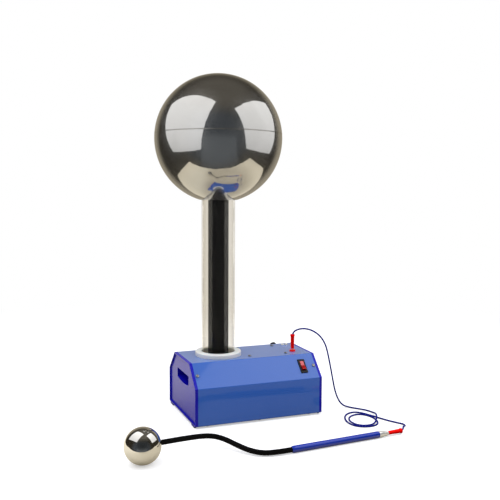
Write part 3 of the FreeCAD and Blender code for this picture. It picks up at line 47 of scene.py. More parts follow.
# camera
cameraLook = {
    "place": (-0.48386, -1.33743, 0.4737),
    "turn": (85.15317, -0.28807, -21.29227),     # degrees
    "lens": 51.228, "sensor": 36,
}

cameraData = bpy.data.cameras.new("camera")
cameraData.lens = cameraLook["lens"]
cameraData.sensor_width = cameraLook["sensor"]
cameraObject = bpy.data.objects.new("camera", cameraData)
cameraObject.location = cameraLook["place"]
cameraObject.rotation_euler = [math.radians(angle) for angle in cameraLook["turn"]]
bpy.context.scene.collection.objects.link(cameraObject)
bpy.context.scene.camera = cameraObject
print("camera set")


# test lead: from the upright plug over to the table, two loose loops, and on to the wand
leadLook = {
    "thick": 0.0034,
    "length": 0.919,
    "run": [
        (0.1589, 0.0526, 0.15450), (0.1589, 0.0526, 0.16130), (0.1636, 0.0506, 0.16850),
        (0.1741, 0.0461, 0.17290), (0.1871, 0.0403, 0.17320), (0.2013, 0.0341, 0.16800),
        (0.2153, 0.0280, 0.15630), (0.2251, 0.0237, 0.13850), (0.2302, 0.0215, 0.11700),
        (0.2349, 0.0194, 0.09200), (0.2401, 0.0172, 0.06300), (0.2445, 0.0153, 0.03800),
        (0.2515, 0.0122, 0.01700), (0.2607, 0.0080, 0.00420), (0.2729, -0.0042, 0.00175),
        (0.2859, -0.0194, 0.00175), (0.2971, -0.0349, 0.00175), (0.3007, -0.0499, 0.00190),
    ],
    "loops": [
        (0.2983, -0.0662, 0.00480), (0.2931, -0.0794, 0.00580), (0.2875, -0.0892, 0.00580),
        (0.2811, -0.0994, 0.00590), (0.2721, -0.1112, 0.00340), (0.2611, -0.1190, 0.00175),
        (0.2481, -0.1212, 0.00175), (0.2357, -0.1176, 0.00175), (0.2277, -0.1069, 0.00175),
        (0.2259, -0.0919, 0.00175), (0.2295, -0.0759, 0.00175), (0.2377, -0.0626, 0.00175),
        (0.2507, -0.0540, 0.00175), (0.2636, -0.0516, 0.00175), (0.2737, -0.0566, 0.00175),
        (0.2801, -0.0674, 0.00175), (0.2833, -0.0804, 0.00175), (0.2819, -0.0960, 0.00175),
        (0.2767, -0.1124, 0.00175), (0.2671, -0.1244, 0.00175), (0.2533, -0.1288, 0.00175),
        (0.2389, -0.1274, 0.00175), (0.2259, -0.1202, 0.00175), (0.2187, -0.1059, 0.00175),
        (0.2185, -0.0869, 0.00175), (0.2243, -0.0679, 0.00175), (0.2347, -0.0504, 0.00175),
        (0.2479, -0.0392, 0.00175), (0.2607, -0.0356, 0.00175), (0.2713, -0.0394, 0.00175),
        (0.2795, -0.0510, 0.00175), (0.2859, -0.0669, 0.00175), (0.2929, -0.0854, 0.00175),
    ],
    "toWand": [
        (0.3019, -0.1090, 0.00175), (0.3111, -0.1256, 0.00175), (0.3197, -0.1398, 0.00175),
        (0.3139, -0.1548, 0.00390), (0.3047, -0.1647, 0.00760), (0.2966, -0.1731, 0.00970),
        (0.2914, -0.1806, 0.00860), (0.2858, -0.1835, 0.00660), (0.2794, -0.1840, 0.00660),
    ],
}


def softLine(name, points, thick):
    # an open spline through soft corners, as a cord lies; each point carries the radius
    curve = bpy.data.curves.new(name, "CURVE")
    curve.dimensions = "3D"
    spline = curve.splines.new("NURBS")
    spline.points.add(len(points) - 1)
    for knot, place in zip(spline.points, points):
        knot.co = (*place, 1)
        knot.radius = thick / 2
    spline.order_u = 3
    spline.use_endpoint_u = True
    spline.resolution_u = 10
    curve.bevel_depth = 1.0
    curve.bevel_resolution = 8
    curve.use_fill_caps = True
    piece = bpy.data.objects.new(name, curve)
    bpy.context.scene.collection.objects.link(piece)
    return piece


leadPoints = leadLook["run"] + leadLook["loops"] + leadLook["toWand"]
lead = softLine("testLead", leadPoints, leadLook["thick"])
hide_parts("lead_run_a", "lead_coil", "lead_run_b")
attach(lead, "stand")
print("lead laid:", len(leadPoints), "points")


# effects that several finishes share
def newGroup(name, inputs, outputs):
    group = bpy.data.node_groups.new(name, "ShaderNodeTree")
    for label, start in inputs:
        socket = group.interface.new_socket(name=label, in_out="INPUT", socket_type="NodeSocketFloat")
        socket.default_value = start
    for label in outputs:
        group.interface.new_socket(name=label, in_out="OUTPUT", socket_type="NodeSocketFloat")
    return group, group.nodes.new("NodeGroupInput"), group.nodes.new("NodeGroupOutput")


def addNode(tree, kind, **values):
    # a node with some of its inputs or properties set
    node = tree.nodes.new(kind)
    for key, value in values.items():
        if key in node.inputs:
            node.inputs[key].default_value = value
        else:
            setattr(node, key, value)
    return node


def objectPlace(tree):
    return tree.nodes.new("ShaderNodeTexCoord").outputs["Object"]


def splitPlace(tree, place):
    # the X, Y and Z of a place or a direction
    parts = tree.nodes.new("ShaderNodeSeparateXYZ")
    tree.links.new(place, parts.inputs[0])
    return parts.outputs


def spread(tree, value, fromLow, fromHigh, toLow=0.0, toHigh=1.0, soft=True):
    # a value's range turned into another one
    node = tree.nodes.new("ShaderNodeMapRange")
    node.interpolation_type = "SMOOTHSTEP" if soft else "LINEAR"
    limits = {"From Min": fromLow, "From Max": fromHigh, "To Min": toLow, "To Max": toHigh}
    for label, number in limits.items():
        if isinstance(number, (int, float)):
            node.inputs[label].default_value = number
        else:
            tree.links.new(number, node.inputs[label])
    tree.links.new(value, node.inputs["Value"])
    return node.outputs["Result"]


def between(tree, mask, low, high):
    # an even blend of two numbers
    return spread(tree, mask, 0, 1, low, high, soft=False)


def arithmetic(tree, operation, first, second):
    node = addNode(tree, "ShaderNodeMath", operation=operation)
    for socket, value in zip(node.inputs, (first, second)):
        if isinstance(value, (int, float)):
            socket.default_value = value
        else:
            tree.links.new(value, socket)
    return node.outputs[0]


def makeGrain():
    # fine even grain: a mask and its height
    group, given, made = newGroup(
        "fineGrain", (("Scale", 900.0), ("Low", 0.35), ("High", 0.65)), ("Mask", "Height"))
    noise = addNode(group, "ShaderNodeTexNoise", Detail=3.0, Roughness=0.55)
    group.links.new(objectPlace(group), noise.inputs["Vector"])
    group.links.new(given.outputs["Scale"], noise.inputs["Scale"])
    mask = spread(group, noise.outputs["Fac"], given.outputs["Low"], given.outputs["High"])
    group.links.new(mask, made.inputs["Mask"])
    group.links.new(noise.outputs["Fac"], made.inputs["Height"])
    return group


def makeHandling():
    # broad smudges and a few fine hairline scratches from use
    look = {
        "smudge": (0.42, 0.72), "scratch": (0.70, 0.76),
        "turn": (0.5, 0.3, 0.9), "stretch": (1.0, 14.0, 1.6),     # the way the scratches run
    }
    group, given, made = newGroup(
        "handling", (("Smudge Scale", 14.0), ("Scratch Scale", 60.0)), ("Smudge", "Scratch"))
    place = objectPlace(group)
    broad = addNode(group, "ShaderNodeTexNoise", Detail=4.0, Roughness=0.6, Distortion=0.6)
    group.links.new(place, broad.inputs["Vector"])
    group.links.new(given.outputs["Smudge Scale"], broad.inputs["Scale"])
    group.links.new(spread(group, broad.outputs["Fac"], *look["smudge"]), made.inputs["Smudge"])
    turn = addNode(group, "ShaderNodeMapping", Rotation=look["turn"], Scale=look["stretch"])
    group.links.new(place, turn.inputs["Vector"])
    hair = addNode(group, "ShaderNodeTexNoise", Detail=2.0, Roughness=0.4)
    group.links.new(turn.outputs["Vector"], hair.inputs["Vector"])
    group.links.new(given.outputs["Scratch Scale"], hair.inputs["Scale"])
    group.links.new(spread(group, hair.outputs["Fac"], *look["scratch"]), made.inputs["Scratch"])
    return group


def makeTurning():
    # fine rings of lathe or spinning marks, closest together along the axis with the highest number
    group, given, made = newGroup(
        "turningMarks", (("Across X", 1.0), ("Across Y", 1.0), ("Across Z", 1.0)), ("Height",))
    stretch = group.nodes.new("ShaderNodeCombineXYZ")
    for axis in "XYZ":
        group.links.new(given.outputs["Across " + axis], stretch.inputs[axis])
    product = addNode(group, "ShaderNodeVectorMath", operation="MULTIPLY")
    group.links.new(objectPlace(group), product.inputs[0])
    group.links.new(stretch.outputs[0], product.inputs[1])
    noise = addNode(group, "ShaderNodeTexNoise", Scale=1.0, Detail=2.0, Roughness=0.5)
    group.links.new(product.outputs[0], noise.inputs["Vector"])
    group.links.new(noise.outputs["Fac"], made.inputs["Height"])
    return group


fineGrain = makeGrain()
handling = makeHandling()
turningMarks = makeTurning()


# what every finish is made with
def newFinish(name):
    material = bpy.data.materials.new(name)
    material.use_nodes = True
    tree = material.node_tree
    return material, tree, tree.nodes["Principled BSDF"]


def setShader(shader, values):
    for label, value in values.items():
        shader.inputs[label].default_value = value


def placeGroup(tree, group, **values):
    node = tree.nodes.new("ShaderNodeGroup")
    node.node_tree = group
    for key, value in values.items():
        node.inputs[key].default_value = value
    return node


def placeRings(tree, across):
    return placeGroup(tree, turningMarks, **{"Across " + axis: value for axis, value in zip("XYZ", across)})


def blendColors(tree, mask, first, second):
    mix = tree.nodes.new("ShaderNodeMix")
    mix.data_type = "RGBA"
    for socket, value in ((mix.inputs["A"], first), (mix.inputs["B"], second)):
        if isinstance(value, tuple):
            socket.default_value = (*value, 1)
        else:
            tree.links.new(value, socket)
    tree.links.new(mask, mix.inputs["Factor"])
    return mix.outputs["Result"]


def blendShaders(tree, mask, first, second):
    mix = tree.nodes.new("ShaderNodeMixShader")
    for socket, value in zip(mix.inputs, (mask, first, second)):
        tree.links.new(value, socket)
    return mix.outputs[0]


def addBump(tree, shader, height, depth, under=None):
    bump = addNode(tree, "ShaderNodeBump", Distance=depth)
    tree.links.new(height, bump.inputs["Height"])
    if under:
        tree.links.new(under, bump.inputs["Normal"])
    tree.links.new(bump.outputs["Normal"], shader.inputs["Normal"])
    return bump.outputs["Normal"]


def workedFinish(name, look):
    # a finish of two near shades, with grain, smudges and hairline scratches
    look = {"bare": look["shade"], "scratch": 0.15, "grainRough": 0.04, "bump": 0.00003, "shader": {}, **look}
    material, tree, shader = newFinish(name)
    grain = placeGroup(tree, fineGrain, Scale=look["grain"])
    worn = placeGroup(tree, handling)
    speckled = blendColors(tree, grain.outputs["Mask"], look["color"], look["shade"])
    mark = arithmetic(tree, "MULTIPLY", worn.outputs["Scratch"], look["scratch"])
    tree.links.new(blendColors(tree, mark, speckled, look["bare"]), shader.inputs["Base Color"])
    base = between(tree, worn.outputs["Smudge"], *look["rough"])
    extra = arithmetic(tree, "MULTIPLY", grain.outputs["Mask"], look["grainRough"])
    tree.links.new(arithmetic(tree, "ADD", base, extra), shader.inputs["Roughness"])
    addBump(tree, shader, grain.outputs["Height"], look["bump"])
    setShader(shader, look["shader"])
    material.diffuse_color = (*look["color"], 1)
    return material


def turnedFinish(name, look):
    # a metal with fine rings; "across" is high along the axis that it was turned on
    look = {"bump": 0.00002, "metal": 1.0, **look}
    material, tree, shader = newFinish(name)
    rings = placeRings(tree, look["across"])
    worn = placeGroup(tree, handling)
    tint = blendColors(tree, rings.outputs["Height"], look["color"], look["shade"])
    tree.links.new(tint, shader.inputs["Base Color"])
    tree.links.new(between(tree, worn.outputs["Smudge"], *look["rough"]), shader.inputs["Roughness"])
    addBump(tree, shader, rings.outputs["Height"], look["bump"])
    shader.inputs["Metallic"].default_value = look["metal"]
    material.diffuse_color = (*look["color"], 1)
    return material


# finishes of the slots
finishes = {
    "painted_cover": workedFinish("blue enamel on the folded cover", {
        "color": (0.001, 0.092, 0.46), "shade": (0.002, 0.101, 0.50), "rough": (0.42, 0.50), "grain": 2600.0,
        "grainRough": 0.05, "bump": 0.000005, "bare": (0.08, 0.20, 0.60), "scratch": 0.08,
        "shader": {"Specular IOR Level": 0.6, "Coat Weight": 1.0, "Coat IOR": 1.36, "Coat Roughness": 0.06,
                   "Sheen Weight": 0.54, "Sheen Roughness": 0.4, "Sheen Tint": (0.84, 0.97, 1.0, 1)}}),
    "cap_plastic": workedFinish("ultramarine moulding", {
        "color": (0.004, 0.003, 0.36), "shade": (0.006, 0.005, 0.40), "rough": (0.24, 0.27), "grain": 1400.0,
        "grainRough": 0.01, "bump": 0.000002, "bare": (0.06, 0.06, 0.48), "scratch": 0.05,
        "shader": {"Specular IOR Level": 0.17, "Coat Weight": 0.12, "Coat Roughness": 0.12}}),
    "foot_rubber": workedFinish("black foot rubber", {
        "color": (0.012, 0.012, 0.013), "shade": (0.022, 0.022, 0.022), "rough": (0.62, 0.78),
        "grain": 2200.0, "bump": 0.00006, "shader": {"Specular IOR Level": 0.25}}),
    "zinc_steel": workedFinish("zinc plated steel", {
        "color": (0.42, 0.43, 0.44), "shade": (0.50, 0.51, 0.52), "rough": (0.11, 0.17), "grain": 1600.0,
        "shader": {"Metallic": 1.0}}),
    "turned_steel": turnedFinish("ground steel rod", {
        "color": (0.58, 0.58, 0.57), "shade": (0.50, 0.50, 0.50), "rough": (0.16, 0.26),
        "across": (3000.0, 60.0, 60.0)}),
    "plated_stud": turnedFinish("bright nickel plating", {
        "color": (0.88, 0.87, 0.84), "shade": (0.80, 0.79, 0.76), "rough": (0.20, 0.26),
        "across": (40.0, 40.0, 1200.0), "bump": 0.000004, "metal": 0.6}),
    "white_nylon": workedFinish("white moulded ring", {
        "color": (0.71, 0.72, 0.71), "shade": (0.68, 0.69, 0.68), "rough": (0.34, 0.44), "grain": 900.0,
        "shader": {"Subsurface Weight": 0.12, "Subsurface Scale": 0.004}}),
    "belt_rubber": workedFinish("black belt rubber", {     # each run is seen through its two faces
        "color": (0.0022, 0.0022, 0.0026), "shade": (0.0035, 0.0035, 0.004), "rough": (0.50, 0.62),
        "grain": 1800.0, "shader": {"Specular IOR Level": 0.03, "Alpha": 0.73}}),
    "roller_metal": turnedFinish("turned aluminium", {
        "color": (0.72, 0.73, 0.74), "shade": (0.64, 0.65, 0.66), "rough": (0.20, 0.32),
        "across": (2400.0, 50.0, 50.0)}),
    "roller_plastic": workedFinish("white roller plastic", {
        "color": (0.72, 0.71, 0.67), "shade": (0.66, 0.65, 0.61), "rough": (0.36, 0.46), "grain": 900.0}),
    "bush_bronze": workedFinish("oiled bronze", {
        "color": (0.46, 0.28, 0.12), "shade": (0.36, 0.21, 0.09), "rough": (0.30, 0.44), "grain": 3000.0,
        "shader": {"Metallic": 1.0}}),
    "comb_brass": workedFinish("rolled brass", {
        "color": (0.72, 0.52, 0.22), "shade": (0.62, 0.43, 0.17), "rough": (0.22, 0.36), "grain": 1500.0,
        "shader": {"Metallic": 1.0}}),
    "bar_plastic": workedFinish("pale frame moulding", {
        "color": (0.62, 0.61, 0.57), "shade": (0.57, 0.56, 0.52), "rough": (0.38, 0.50), "grain": 1000.0}),
    "board_resin": workedFinish("green board lacquer", {
        "color": (0.012, 0.10, 0.035), "shade": (0.020, 0.14, 0.050), "rough": (0.26, 0.36), "grain": 700.0}),
    "socket_red": workedFinish("red socket moulding", {
        "color": (0.80, 0.004, 0.003), "shade": (0.88, 0.006, 0.005), "rough": (0.34, 0.42),
        "grain": 1500.0, "bump": 0.00001, "shader": {"Specular IOR Level": 0.15}}),
    "black_moulding": workedFinish("black moulding", {
        "color": (0.0035, 0.0035, 0.004), "shade": (0.006, 0.006, 0.0065), "rough": (0.34, 0.46),
        "grain": 2600.0, "shader": {"Specular IOR Level": 0.3}}),
    "pot_metal": workedFinish("dull nickel", {
        "color": (0.50, 0.49, 0.47), "shade": (0.42, 0.41, 0.40), "rough": (0.34, 0.46), "grain": 1800.0,
        "shader": {"Metallic": 1.0}}),
    "plug_red": workedFinish("red soft plug sleeve", {
        "color": (0.96, 0.002, 0.001), "shade": (1.0, 0.004, 0.002), "rough": (0.40, 0.50), "grain": 1600.0,
        "bump": 0.00001, "shader": {"Specular IOR Level": 0.04}}),
    "lead_blue": workedFinish("navy lead sheath", {
        "color": (0.004, 0.007, 0.18), "shade": (0.006, 0.010, 0.21), "rough": (0.40, 0.50),
        "grain": 1800.0, "bump": 0.00002, "shader": {"Specular IOR Level": 0.06}}),
    "neck_black": workedFinish("black wound neck", {
        "color": (0.0022, 0.002, 0.002), "shade": (0.004, 0.0036, 0.0036), "rough": (0.34, 0.44),
        "grain": 2600.0, "bump": 0.00001, "shader": {"Specular IOR Level": 0.05}}),
    "handle_blue": workedFinish("blue grip moulding", {
        "color": (0.003, 0.026, 0.32), "shade": (0.005, 0.031, 0.36), "rough": (0.07, 0.10), "grain": 1500.0,
        "bump": 0.000003, "shader": {"Specular IOR Level": 0.3, "Coat Weight": 0.6, "Coat Roughness": 0.03}}),
}


def polishedSteel(name, look):
    # spun and buffed metal: nearly a mirror, with faint rings, wiped smudges and a haze of fine scratches
    material, tree, shader = newFinish(name)
    rings = placeRings(tree, look["across"])
    worn = placeGroup(tree, handling, **{"Smudge Scale": look["smudges"]})
    hazeLow, hazeHigh = look["haze"]
    haze = placeGroup(tree, fineGrain, Scale=look["hazeScale"], Low=hazeLow, High=hazeHigh)
    tint = blendColors(tree, worn.outputs["Smudge"], look["color"], look["dull"])
    # painted reflection: where a look gives a middle colour, the part that faces the eye is painted that darker
    # colour, in place of the dim room it reflects
    if "middle" in look:
        facing = tree.nodes.new("ShaderNodeLayerWeight").outputs["Facing"]
        tint = blendColors(tree, spread(tree, facing, *look["middleReach"]), look["middle"], tint)
    tree.links.new(tint, shader.inputs["Base Color"])
    smooth = between(tree, worn.outputs["Smudge"], *look["rough"])
    hazy = arithmetic(tree, "MULTIPLY", haze.outputs["Mask"], look["hazeRough"])
    tree.links.new(arithmetic(tree, "ADD", smooth, hazy), shader.inputs["Roughness"])
    dents = addBump(tree, shader, worn.outputs["Smudge"], look["dents"])
    addBump(tree, shader, rings.outputs["Height"], look["bump"], under=dents)
    shader.inputs["Metallic"].default_value = 1.0
    return material


def clearAcrylic():
    # clear thin-walled tube, seen straight through; its cream tint is deeper at its edges, and its left side is
    # painted a darker cream, a painted shade
    look = {
        "middle": (0.89, 0.87, 0.825), "edge": (0.68, 0.64, 0.57), "edgeBlend": 0.3,
        # painted shade: the darker cream painted on the tube's left side, and where it fades out along X
        "paintedShadeLeft": (0.82, 0.785, 0.71), "paintedShadeLeftReach": (-0.034, -0.021), "shadow": (0.94, 0.94, 0.93),
        "coat": (0.02, 0.7), "rough": (0.0, 0.03), "smudges": 10.0,
        "shader": {"Transmission Weight": 1.0, "IOR": 1.012, "Coat IOR": 1.49, "Coat Roughness": 0.02},
    }
    material, tree, shader = newFinish("clear acrylic tube")
    worn = placeGroup(tree, handling, **{"Smudge Scale": look["smudges"]})
    rim = addNode(tree, "ShaderNodeLayerWeight", Blend=look["edgeBlend"]).outputs["Facing"]
    # painted shade: the tube's left side, by its place along X, is painted a darker cream
    aside = splitPlace(tree, objectPlace(tree))["X"]
    tint = blendColors(tree, spread(tree, aside, *look["paintedShadeLeftReach"]), look["paintedShadeLeft"], look["middle"])
    tree.links.new(blendColors(tree, rim, tint, look["edge"]), shader.inputs["Base Color"])
    tree.links.new(between(tree, rim, *look["coat"]), shader.inputs["Coat Weight"])
    tree.links.new(between(tree, worn.outputs["Smudge"], *look["rough"]), shader.inputs["Roughness"])
    setShader(shader, look["shader"])
    seeThrough = addNode(tree, "ShaderNodeBsdfTransparent", Color=(*look["shadow"], 1)).outputs[0]
    shadowRay = tree.nodes.new("ShaderNodeLightPath").outputs["Is Shadow Ray"]
    surface = blendShaders(tree, shadowRay, shader.outputs[0], seeThrough)
    tree.links.new(surface, tree.nodes["Material Output"].inputs["Surface"])
    return material


def rockerRed():
    # translucent red with its lamp off, speckled with deeper red; above a given height its upper half is
    # painted a pale pink, a painted reflection
    look = {
        # painted reflection: the pale pink painted on the rocker's upper half
        "color": (0.40, 0.005, 0.007), "deep": (0.22, 0.002, 0.004), "paintedPaleReflection": (0.56, 0.075, 0.085),
        "crest": (0.1040, 0.1052), "grain": 260.0, "rough": (0.10, 0.16),
        "shader": {"Coat Weight": 0.6, "Coat Roughness": 0.05, "Subsurface Weight": 0.25,
                   "Subsurface Scale": 0.003},
    }
    material, tree, shader = newFinish("clear red rocker")
    grain = placeGroup(tree, fineGrain, Scale=look["grain"])
    height = splitPlace(tree, objectPlace(tree))["Z"]
    speckled = blendColors(tree, grain.outputs["Mask"], look["color"], look["deep"])
    # painted reflection: the rocker is painted pale pink above the crest height
    paintedReflectionMask = spread(tree, height, *look["crest"])
    tree.links.new(blendColors(tree, paintedReflectionMask, speckled, look["paintedPaleReflection"]), shader.inputs["Base Color"])
    tree.links.new(between(tree, grain.outputs["Mask"], *look["rough"]), shader.inputs["Roughness"])
    setShader(shader, look["shader"])
    return material


finishes["sphere_steel"] = polishedSteel("buffed spun steel", {
    "color": (0.47, 0.465, 0.455), "dull": (0.43, 0.425, 0.415), "rough": (0.035, 0.075), "smudges": 9.0,
    "across": (6.0, 6.0, 900.0), "bump": 0.0000015, "dents": 0.00015,
    "haze": (0.56, 0.58), "hazeScale": 5200.0, "hazeRough": 0.34})
ballSteel = polishedSteel("bright ball steel", {
    "color": (0.70, 0.69, 0.67), "dull": (0.66, 0.65, 0.63), "rough": (0.02, 0.045), "smudges": 9.0,
    # painted reflection: the ball's middle, facing the eye, is painted dark
    "middle": (0.27, 0.26, 0.23), "middleReach": (-0.02, 0.11),
    "across": (6.0, 6.0, 60.0), "bump": 0.000001, "dents": 0.00002,
    "haze": (0.66, 0.68), "hazeScale": 7000.0, "hazeRough": 0.30})
finishes["clear_acrylic"] = clearAcrylic()
finishes["rocker_red"] = rockerRed()
print("finishes made:", len(finishes))

for node in cadNodes.values():
    for slotPlace in node.material_slots:
        slotPlace.material = finishes[slotPlace.material.name.split(".")[0]]
lead.data.materials.append(finishes["lead_blue"])


# pieces turned on an axis
def finishedPiece(name, mesh, body, slotName, replaced, sharp=32, finish=None):
    data = bpy.data.meshes.new(name)
    mesh.to_mesh(data)
    mesh.free()
    data.shade_smooth()
    data.set_sharp_from_angle(angle=math.radians(sharp))
    piece = bpy.data.objects.new(name, data)
    bpy.context.scene.collection.objects.link(piece)
    data.materials.append(finish or finishes[slotName])
    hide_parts(*replaced)
    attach(piece, body)
    return piece


def turnedPiece(name, body, slotName, run, replaced, steps, place=None, sharp=32, finish=None):
    # run: (radius, height) corners, or (radius, height of a centre, degrees, parts) for an arc
    mesh = bmesh.new()
    tip = None
    for move in run:
        if len(move) == 2:
            corner = mesh.verts.new((move[0], 0, move[1]))
            if tip:
                mesh.edges.new((tip, corner))
            tip = corner
        else:
            swept = bmesh.ops.spin(mesh, geom=[tip], cent=(move[0], 0, move[1]), axis=(0, -1, 0),
                                   angle=math.radians(move[2]), steps=move[3])
            tip = [part for part in swept["geom_last"] if isinstance(part, bmesh.types.BMVert)][0]
    bmesh.ops.spin(mesh, geom=mesh.verts[:] + mesh.edges[:], cent=(0, 0, 0), axis=(0, 0, 1),
                   angle=math.tau, steps=steps, use_merge=True)
    bmesh.ops.remove_doubles(mesh, verts=mesh.verts, dist=1e-6)
    bmesh.ops.dissolve_degenerate(mesh, edges=mesh.edges, dist=1e-7)
    bmesh.ops.recalc_face_normals(mesh, faces=mesh.faces)
    bmesh.ops.transform(mesh, matrix=place or Matrix.Translation(columnFoot), verts=mesh.verts)
    return finishedPiece(name, mesh, body, slotName, replaced, sharp, finish)


sphere = {
    "center": 0.5789, "radius": 0.1325, "wall": 0.0012, "around": 192, "outerParts": 90, "innerParts": 60,
    # a rounded edge on the upper shell, just over the seam
    "seam": 0.5878, "seamGap": 0.00035, "lip": 0.0004, "bead": 0.0007, "beadParts": 12, "beadTop": 0.0016,
    # the lower shell's neck, rolled in round the tube; radius and height of the roll's centre
    "neckBore": 0.0352, "neckTop": 0.46716, "rollCenter": (0.0382, 0.45516), "rollParts": (14, 10),
}


def sphereAngle(radius, height):
    return math.degrees(math.asin((height - sphere["center"]) / radius))


def sphereWidth(radius, height):
    return math.sqrt(radius ** 2 - (height - sphere["center"]) ** 2)


def lowerShell():
    center, outer, wall = sphere["center"], sphere["radius"], sphere["wall"]
    inner = outer - wall
    seam, bore, neckTop = sphere["seam"], sphere["neckBore"], sphere["neckTop"]
    rollR, rollZ = sphere["rollCenter"]
    outRoll, inRoll = sphere["rollParts"]
    rollAngle = math.degrees(math.atan2(rollZ - center, rollR))
    run = [
        (bore, neckTop), (bore, rollZ),
        (rollR, rollZ, 180 + rollAngle, outRoll),
        (0, center, sphereAngle(outer, seam) - rollAngle, sphere["outerParts"]),
        (sphereWidth(inner, seam), seam),
        (0, center, rollAngle - sphereAngle(inner, seam), sphere["innerParts"]),
        (rollR, rollZ, -180 - rollAngle, inRoll),
        (bore + wall, neckTop), (bore, neckTop),
    ]
    return turnedPiece("lowerShell", "stand", "sphere_steel", run, ["lower_shell"], sphere["around"])


def upperShell():
    center, outer = sphere["center"], sphere["radius"]
    inner = outer - sphere["wall"]
    low = sphere["seam"] + sphere["seamGap"]
    over = low + sphere["beadTop"]
    rim = sphereWidth(outer, low) - sphere["lip"]
    run = [
        (sphereWidth(inner, low), low), (rim, low),
        (rim, low + sphere["bead"], 180, sphere["beadParts"]),
        (sphereWidth(outer, over), over),
        (0, center, 90 - sphereAngle(outer, over), sphere["outerParts"]),
        (0, center + inner),
        (0, center, sphereAngle(inner, low) - 90, sphere["innerParts"]),
    ]
    return turnedPiece("upperShell", "dome", "sphere_steel", run, ["upper_shell"], sphere["around"])


lowerShell()
upperShell()

tube = {"radius": 0.035, "wall": 0.003, "low": 0.111, "high": 0.548, "edge": 0.0004, "around": 128, "sharp": 50}


def columnTube():
    outer, inner = tube["radius"], tube["radius"] - tube["wall"]
    low, high, edge = tube["low"], tube["high"], tube["edge"]
    run = [
        (inner, low + edge), (inner + edge, low), (outer - edge, low), (outer, low + edge),
        (outer, high - edge), (outer - edge, high), (inner + edge, high), (inner, high - edge),
        (inner, low + edge),
    ]
    return turnedPiece("columnTube", "stand", "clear_acrylic", run, ["column_tube"], tube["around"],
                       sharp=tube["sharp"])


columnTube()
print("sphere and column built")

ring = {
    "outer": 0.0487, "spigot": 0.03915, "bore": 0.03515, "ledge": 0.030, "around": 160,
    "foot": 0.108, "ledgeTop": 0.111, "seat": 0.1232, "top": 0.1327,
    "edge": 0.0005, "edgeParts": 5, "round": 0.0026, "roundParts": 12, "chamfer": 0.0008,
}


def collarRing():
    outer, spigot, bore, ledge = ring["outer"], ring["spigot"], ring["bore"], ring["ledge"]
    foot, ledgeTop, seat, top = ring["foot"], ring["ledgeTop"], ring["seat"], ring["top"]
    soft, edge, chamfer = ring["round"], ring["edge"], ring["chamfer"]
    run = [
        (ledge, foot), (spigot, foot), (spigot, seat),
        (outer - edge, seat), (outer - edge, seat + edge, 90, ring["edgeParts"]),
        (outer, top - soft), (outer - soft, top - soft, 90, ring["roundParts"]),
        (bore + chamfer, top), (bore, top - chamfer), (bore, ledgeTop), (ledge, ledgeTop), (ledge, foot),
    ]
    return turnedPiece("collarRing", "stand", "white_nylon", run, ["collar"], ring["around"])


collarRing()
print("collar built")


# discharge wand
wand = {
    "ball": (-0.22076, -0.15843, 0.0326), "ballRadius": 0.0326, "ballWall": 0.0015,
    "ballAround": 128, "ballParts": (100, 40),
    "neck": [
        (-0.15886, -0.13863, 0.0282), (-0.12886, -0.13003, 0.0260), (-0.10236, -0.12243, 0.0234),
        (-0.07936, -0.12123, 0.0203), (-0.06136, -0.13353, 0.0161), (-0.04686, -0.15793, 0.0112),
        (-0.03086, -0.18343, 0.0075), (-0.01086, -0.20003, 0.0062), (0.01414, -0.20343, 0.0066),
    ],
    "neckRadius": 0.0049, "clearance": 0.00005, "inBall": 0.010, "inGrip": 0.012, "lineSteps": 16,
    "strands": 10, "groove": 0.0004, "grooveEdge": 6, "pitch": 0.062, "sides": 80, "neckSharp": 60,
}
grip = {
    "start": (0.04154, -0.20213, 0.0066), "end": (0.23164, -0.18773, 0.0066), "radius": 0.0066, "around": 96,
    "mouthDepth": 0.0004, "boreDepth": 0.014, "shoulder": 0.005,
    "mouth": [(0.0050, 0.0003), (0.0054, 0.0008), (0.0062, 0.0026), (0.0065, 0.0036)],
    "tail": [(0, 0.0012), (0.0003, 0.0004), (0.0007, 0)],      # in from the radius, back from the end
}
ballMiddle = Vector(wand["ball"])
gripStart, gripEnd = Vector(grip["start"]), Vector(grip["end"])
gripLine = (gripEnd - gripStart).normalized()
neckLine = (Vector(wand["neck"][0]) - ballMiddle).normalized()


def setAlong(start, line):
    # upright piece laid with its foot at start and its axis along line
    return Matrix.Translation(start) @ line.to_track_quat("Z", "Y").to_matrix().to_4x4()


def wandBall():
    outer, hole = wand["ballRadius"], wand["neckRadius"] + wand["clearance"]
    inner = outer - wand["ballWall"]
    outParts, inParts = wand["ballParts"]
    rim, innerRim = math.degrees(math.acos(hole / outer)), math.degrees(math.acos(hole / inner))
    run = [
        (0, -outer), (0, 0, 90 + rim, outParts),
        (hole, inner * math.sin(math.radians(innerRim))),
        (0, 0, -90 - innerRim, inParts),
    ]
    return turnedPiece("wandBall", "stand", "sphere_steel", run, ["wand_ball"], wand["ballAround"],
                       setAlong(ballMiddle, neckLine), finish=ballSteel)


def wandGrip():
    radius, length = grip["radius"], (gripEnd - gripStart).length
    bore, mouth, deep = wand["neckRadius"] + wand["clearance"], grip["mouthDepth"], grip["boreDepth"]
    run = [(bore, mouth), *grip["mouth"], (radius, grip["shoulder"])]
    run += [(radius - inward, length - back) for inward, back in grip["tail"]]
    run += [(0, length), (0, deep), (bore, deep), (bore, mouth)]
    return turnedPiece("wandGrip", "stand", "handle_blue", run, ["wand_handle"], grip["around"],
                       setAlong(gripStart, gripLine))


ferrule = {
    "length": 0.0215, "around": 96, "bore": 0.00205, "boreFoot": 0.0015,
    "shoulder": [(0.0061, 0), (0.0061, 0.0076), (0.0059, 0.0080), (0.0053, 0.0107), (0.0051, 0.0112)],
    "nose": [(0.0046, 0.0008), (0.0038, 0)],                   # radius, back from the end
}


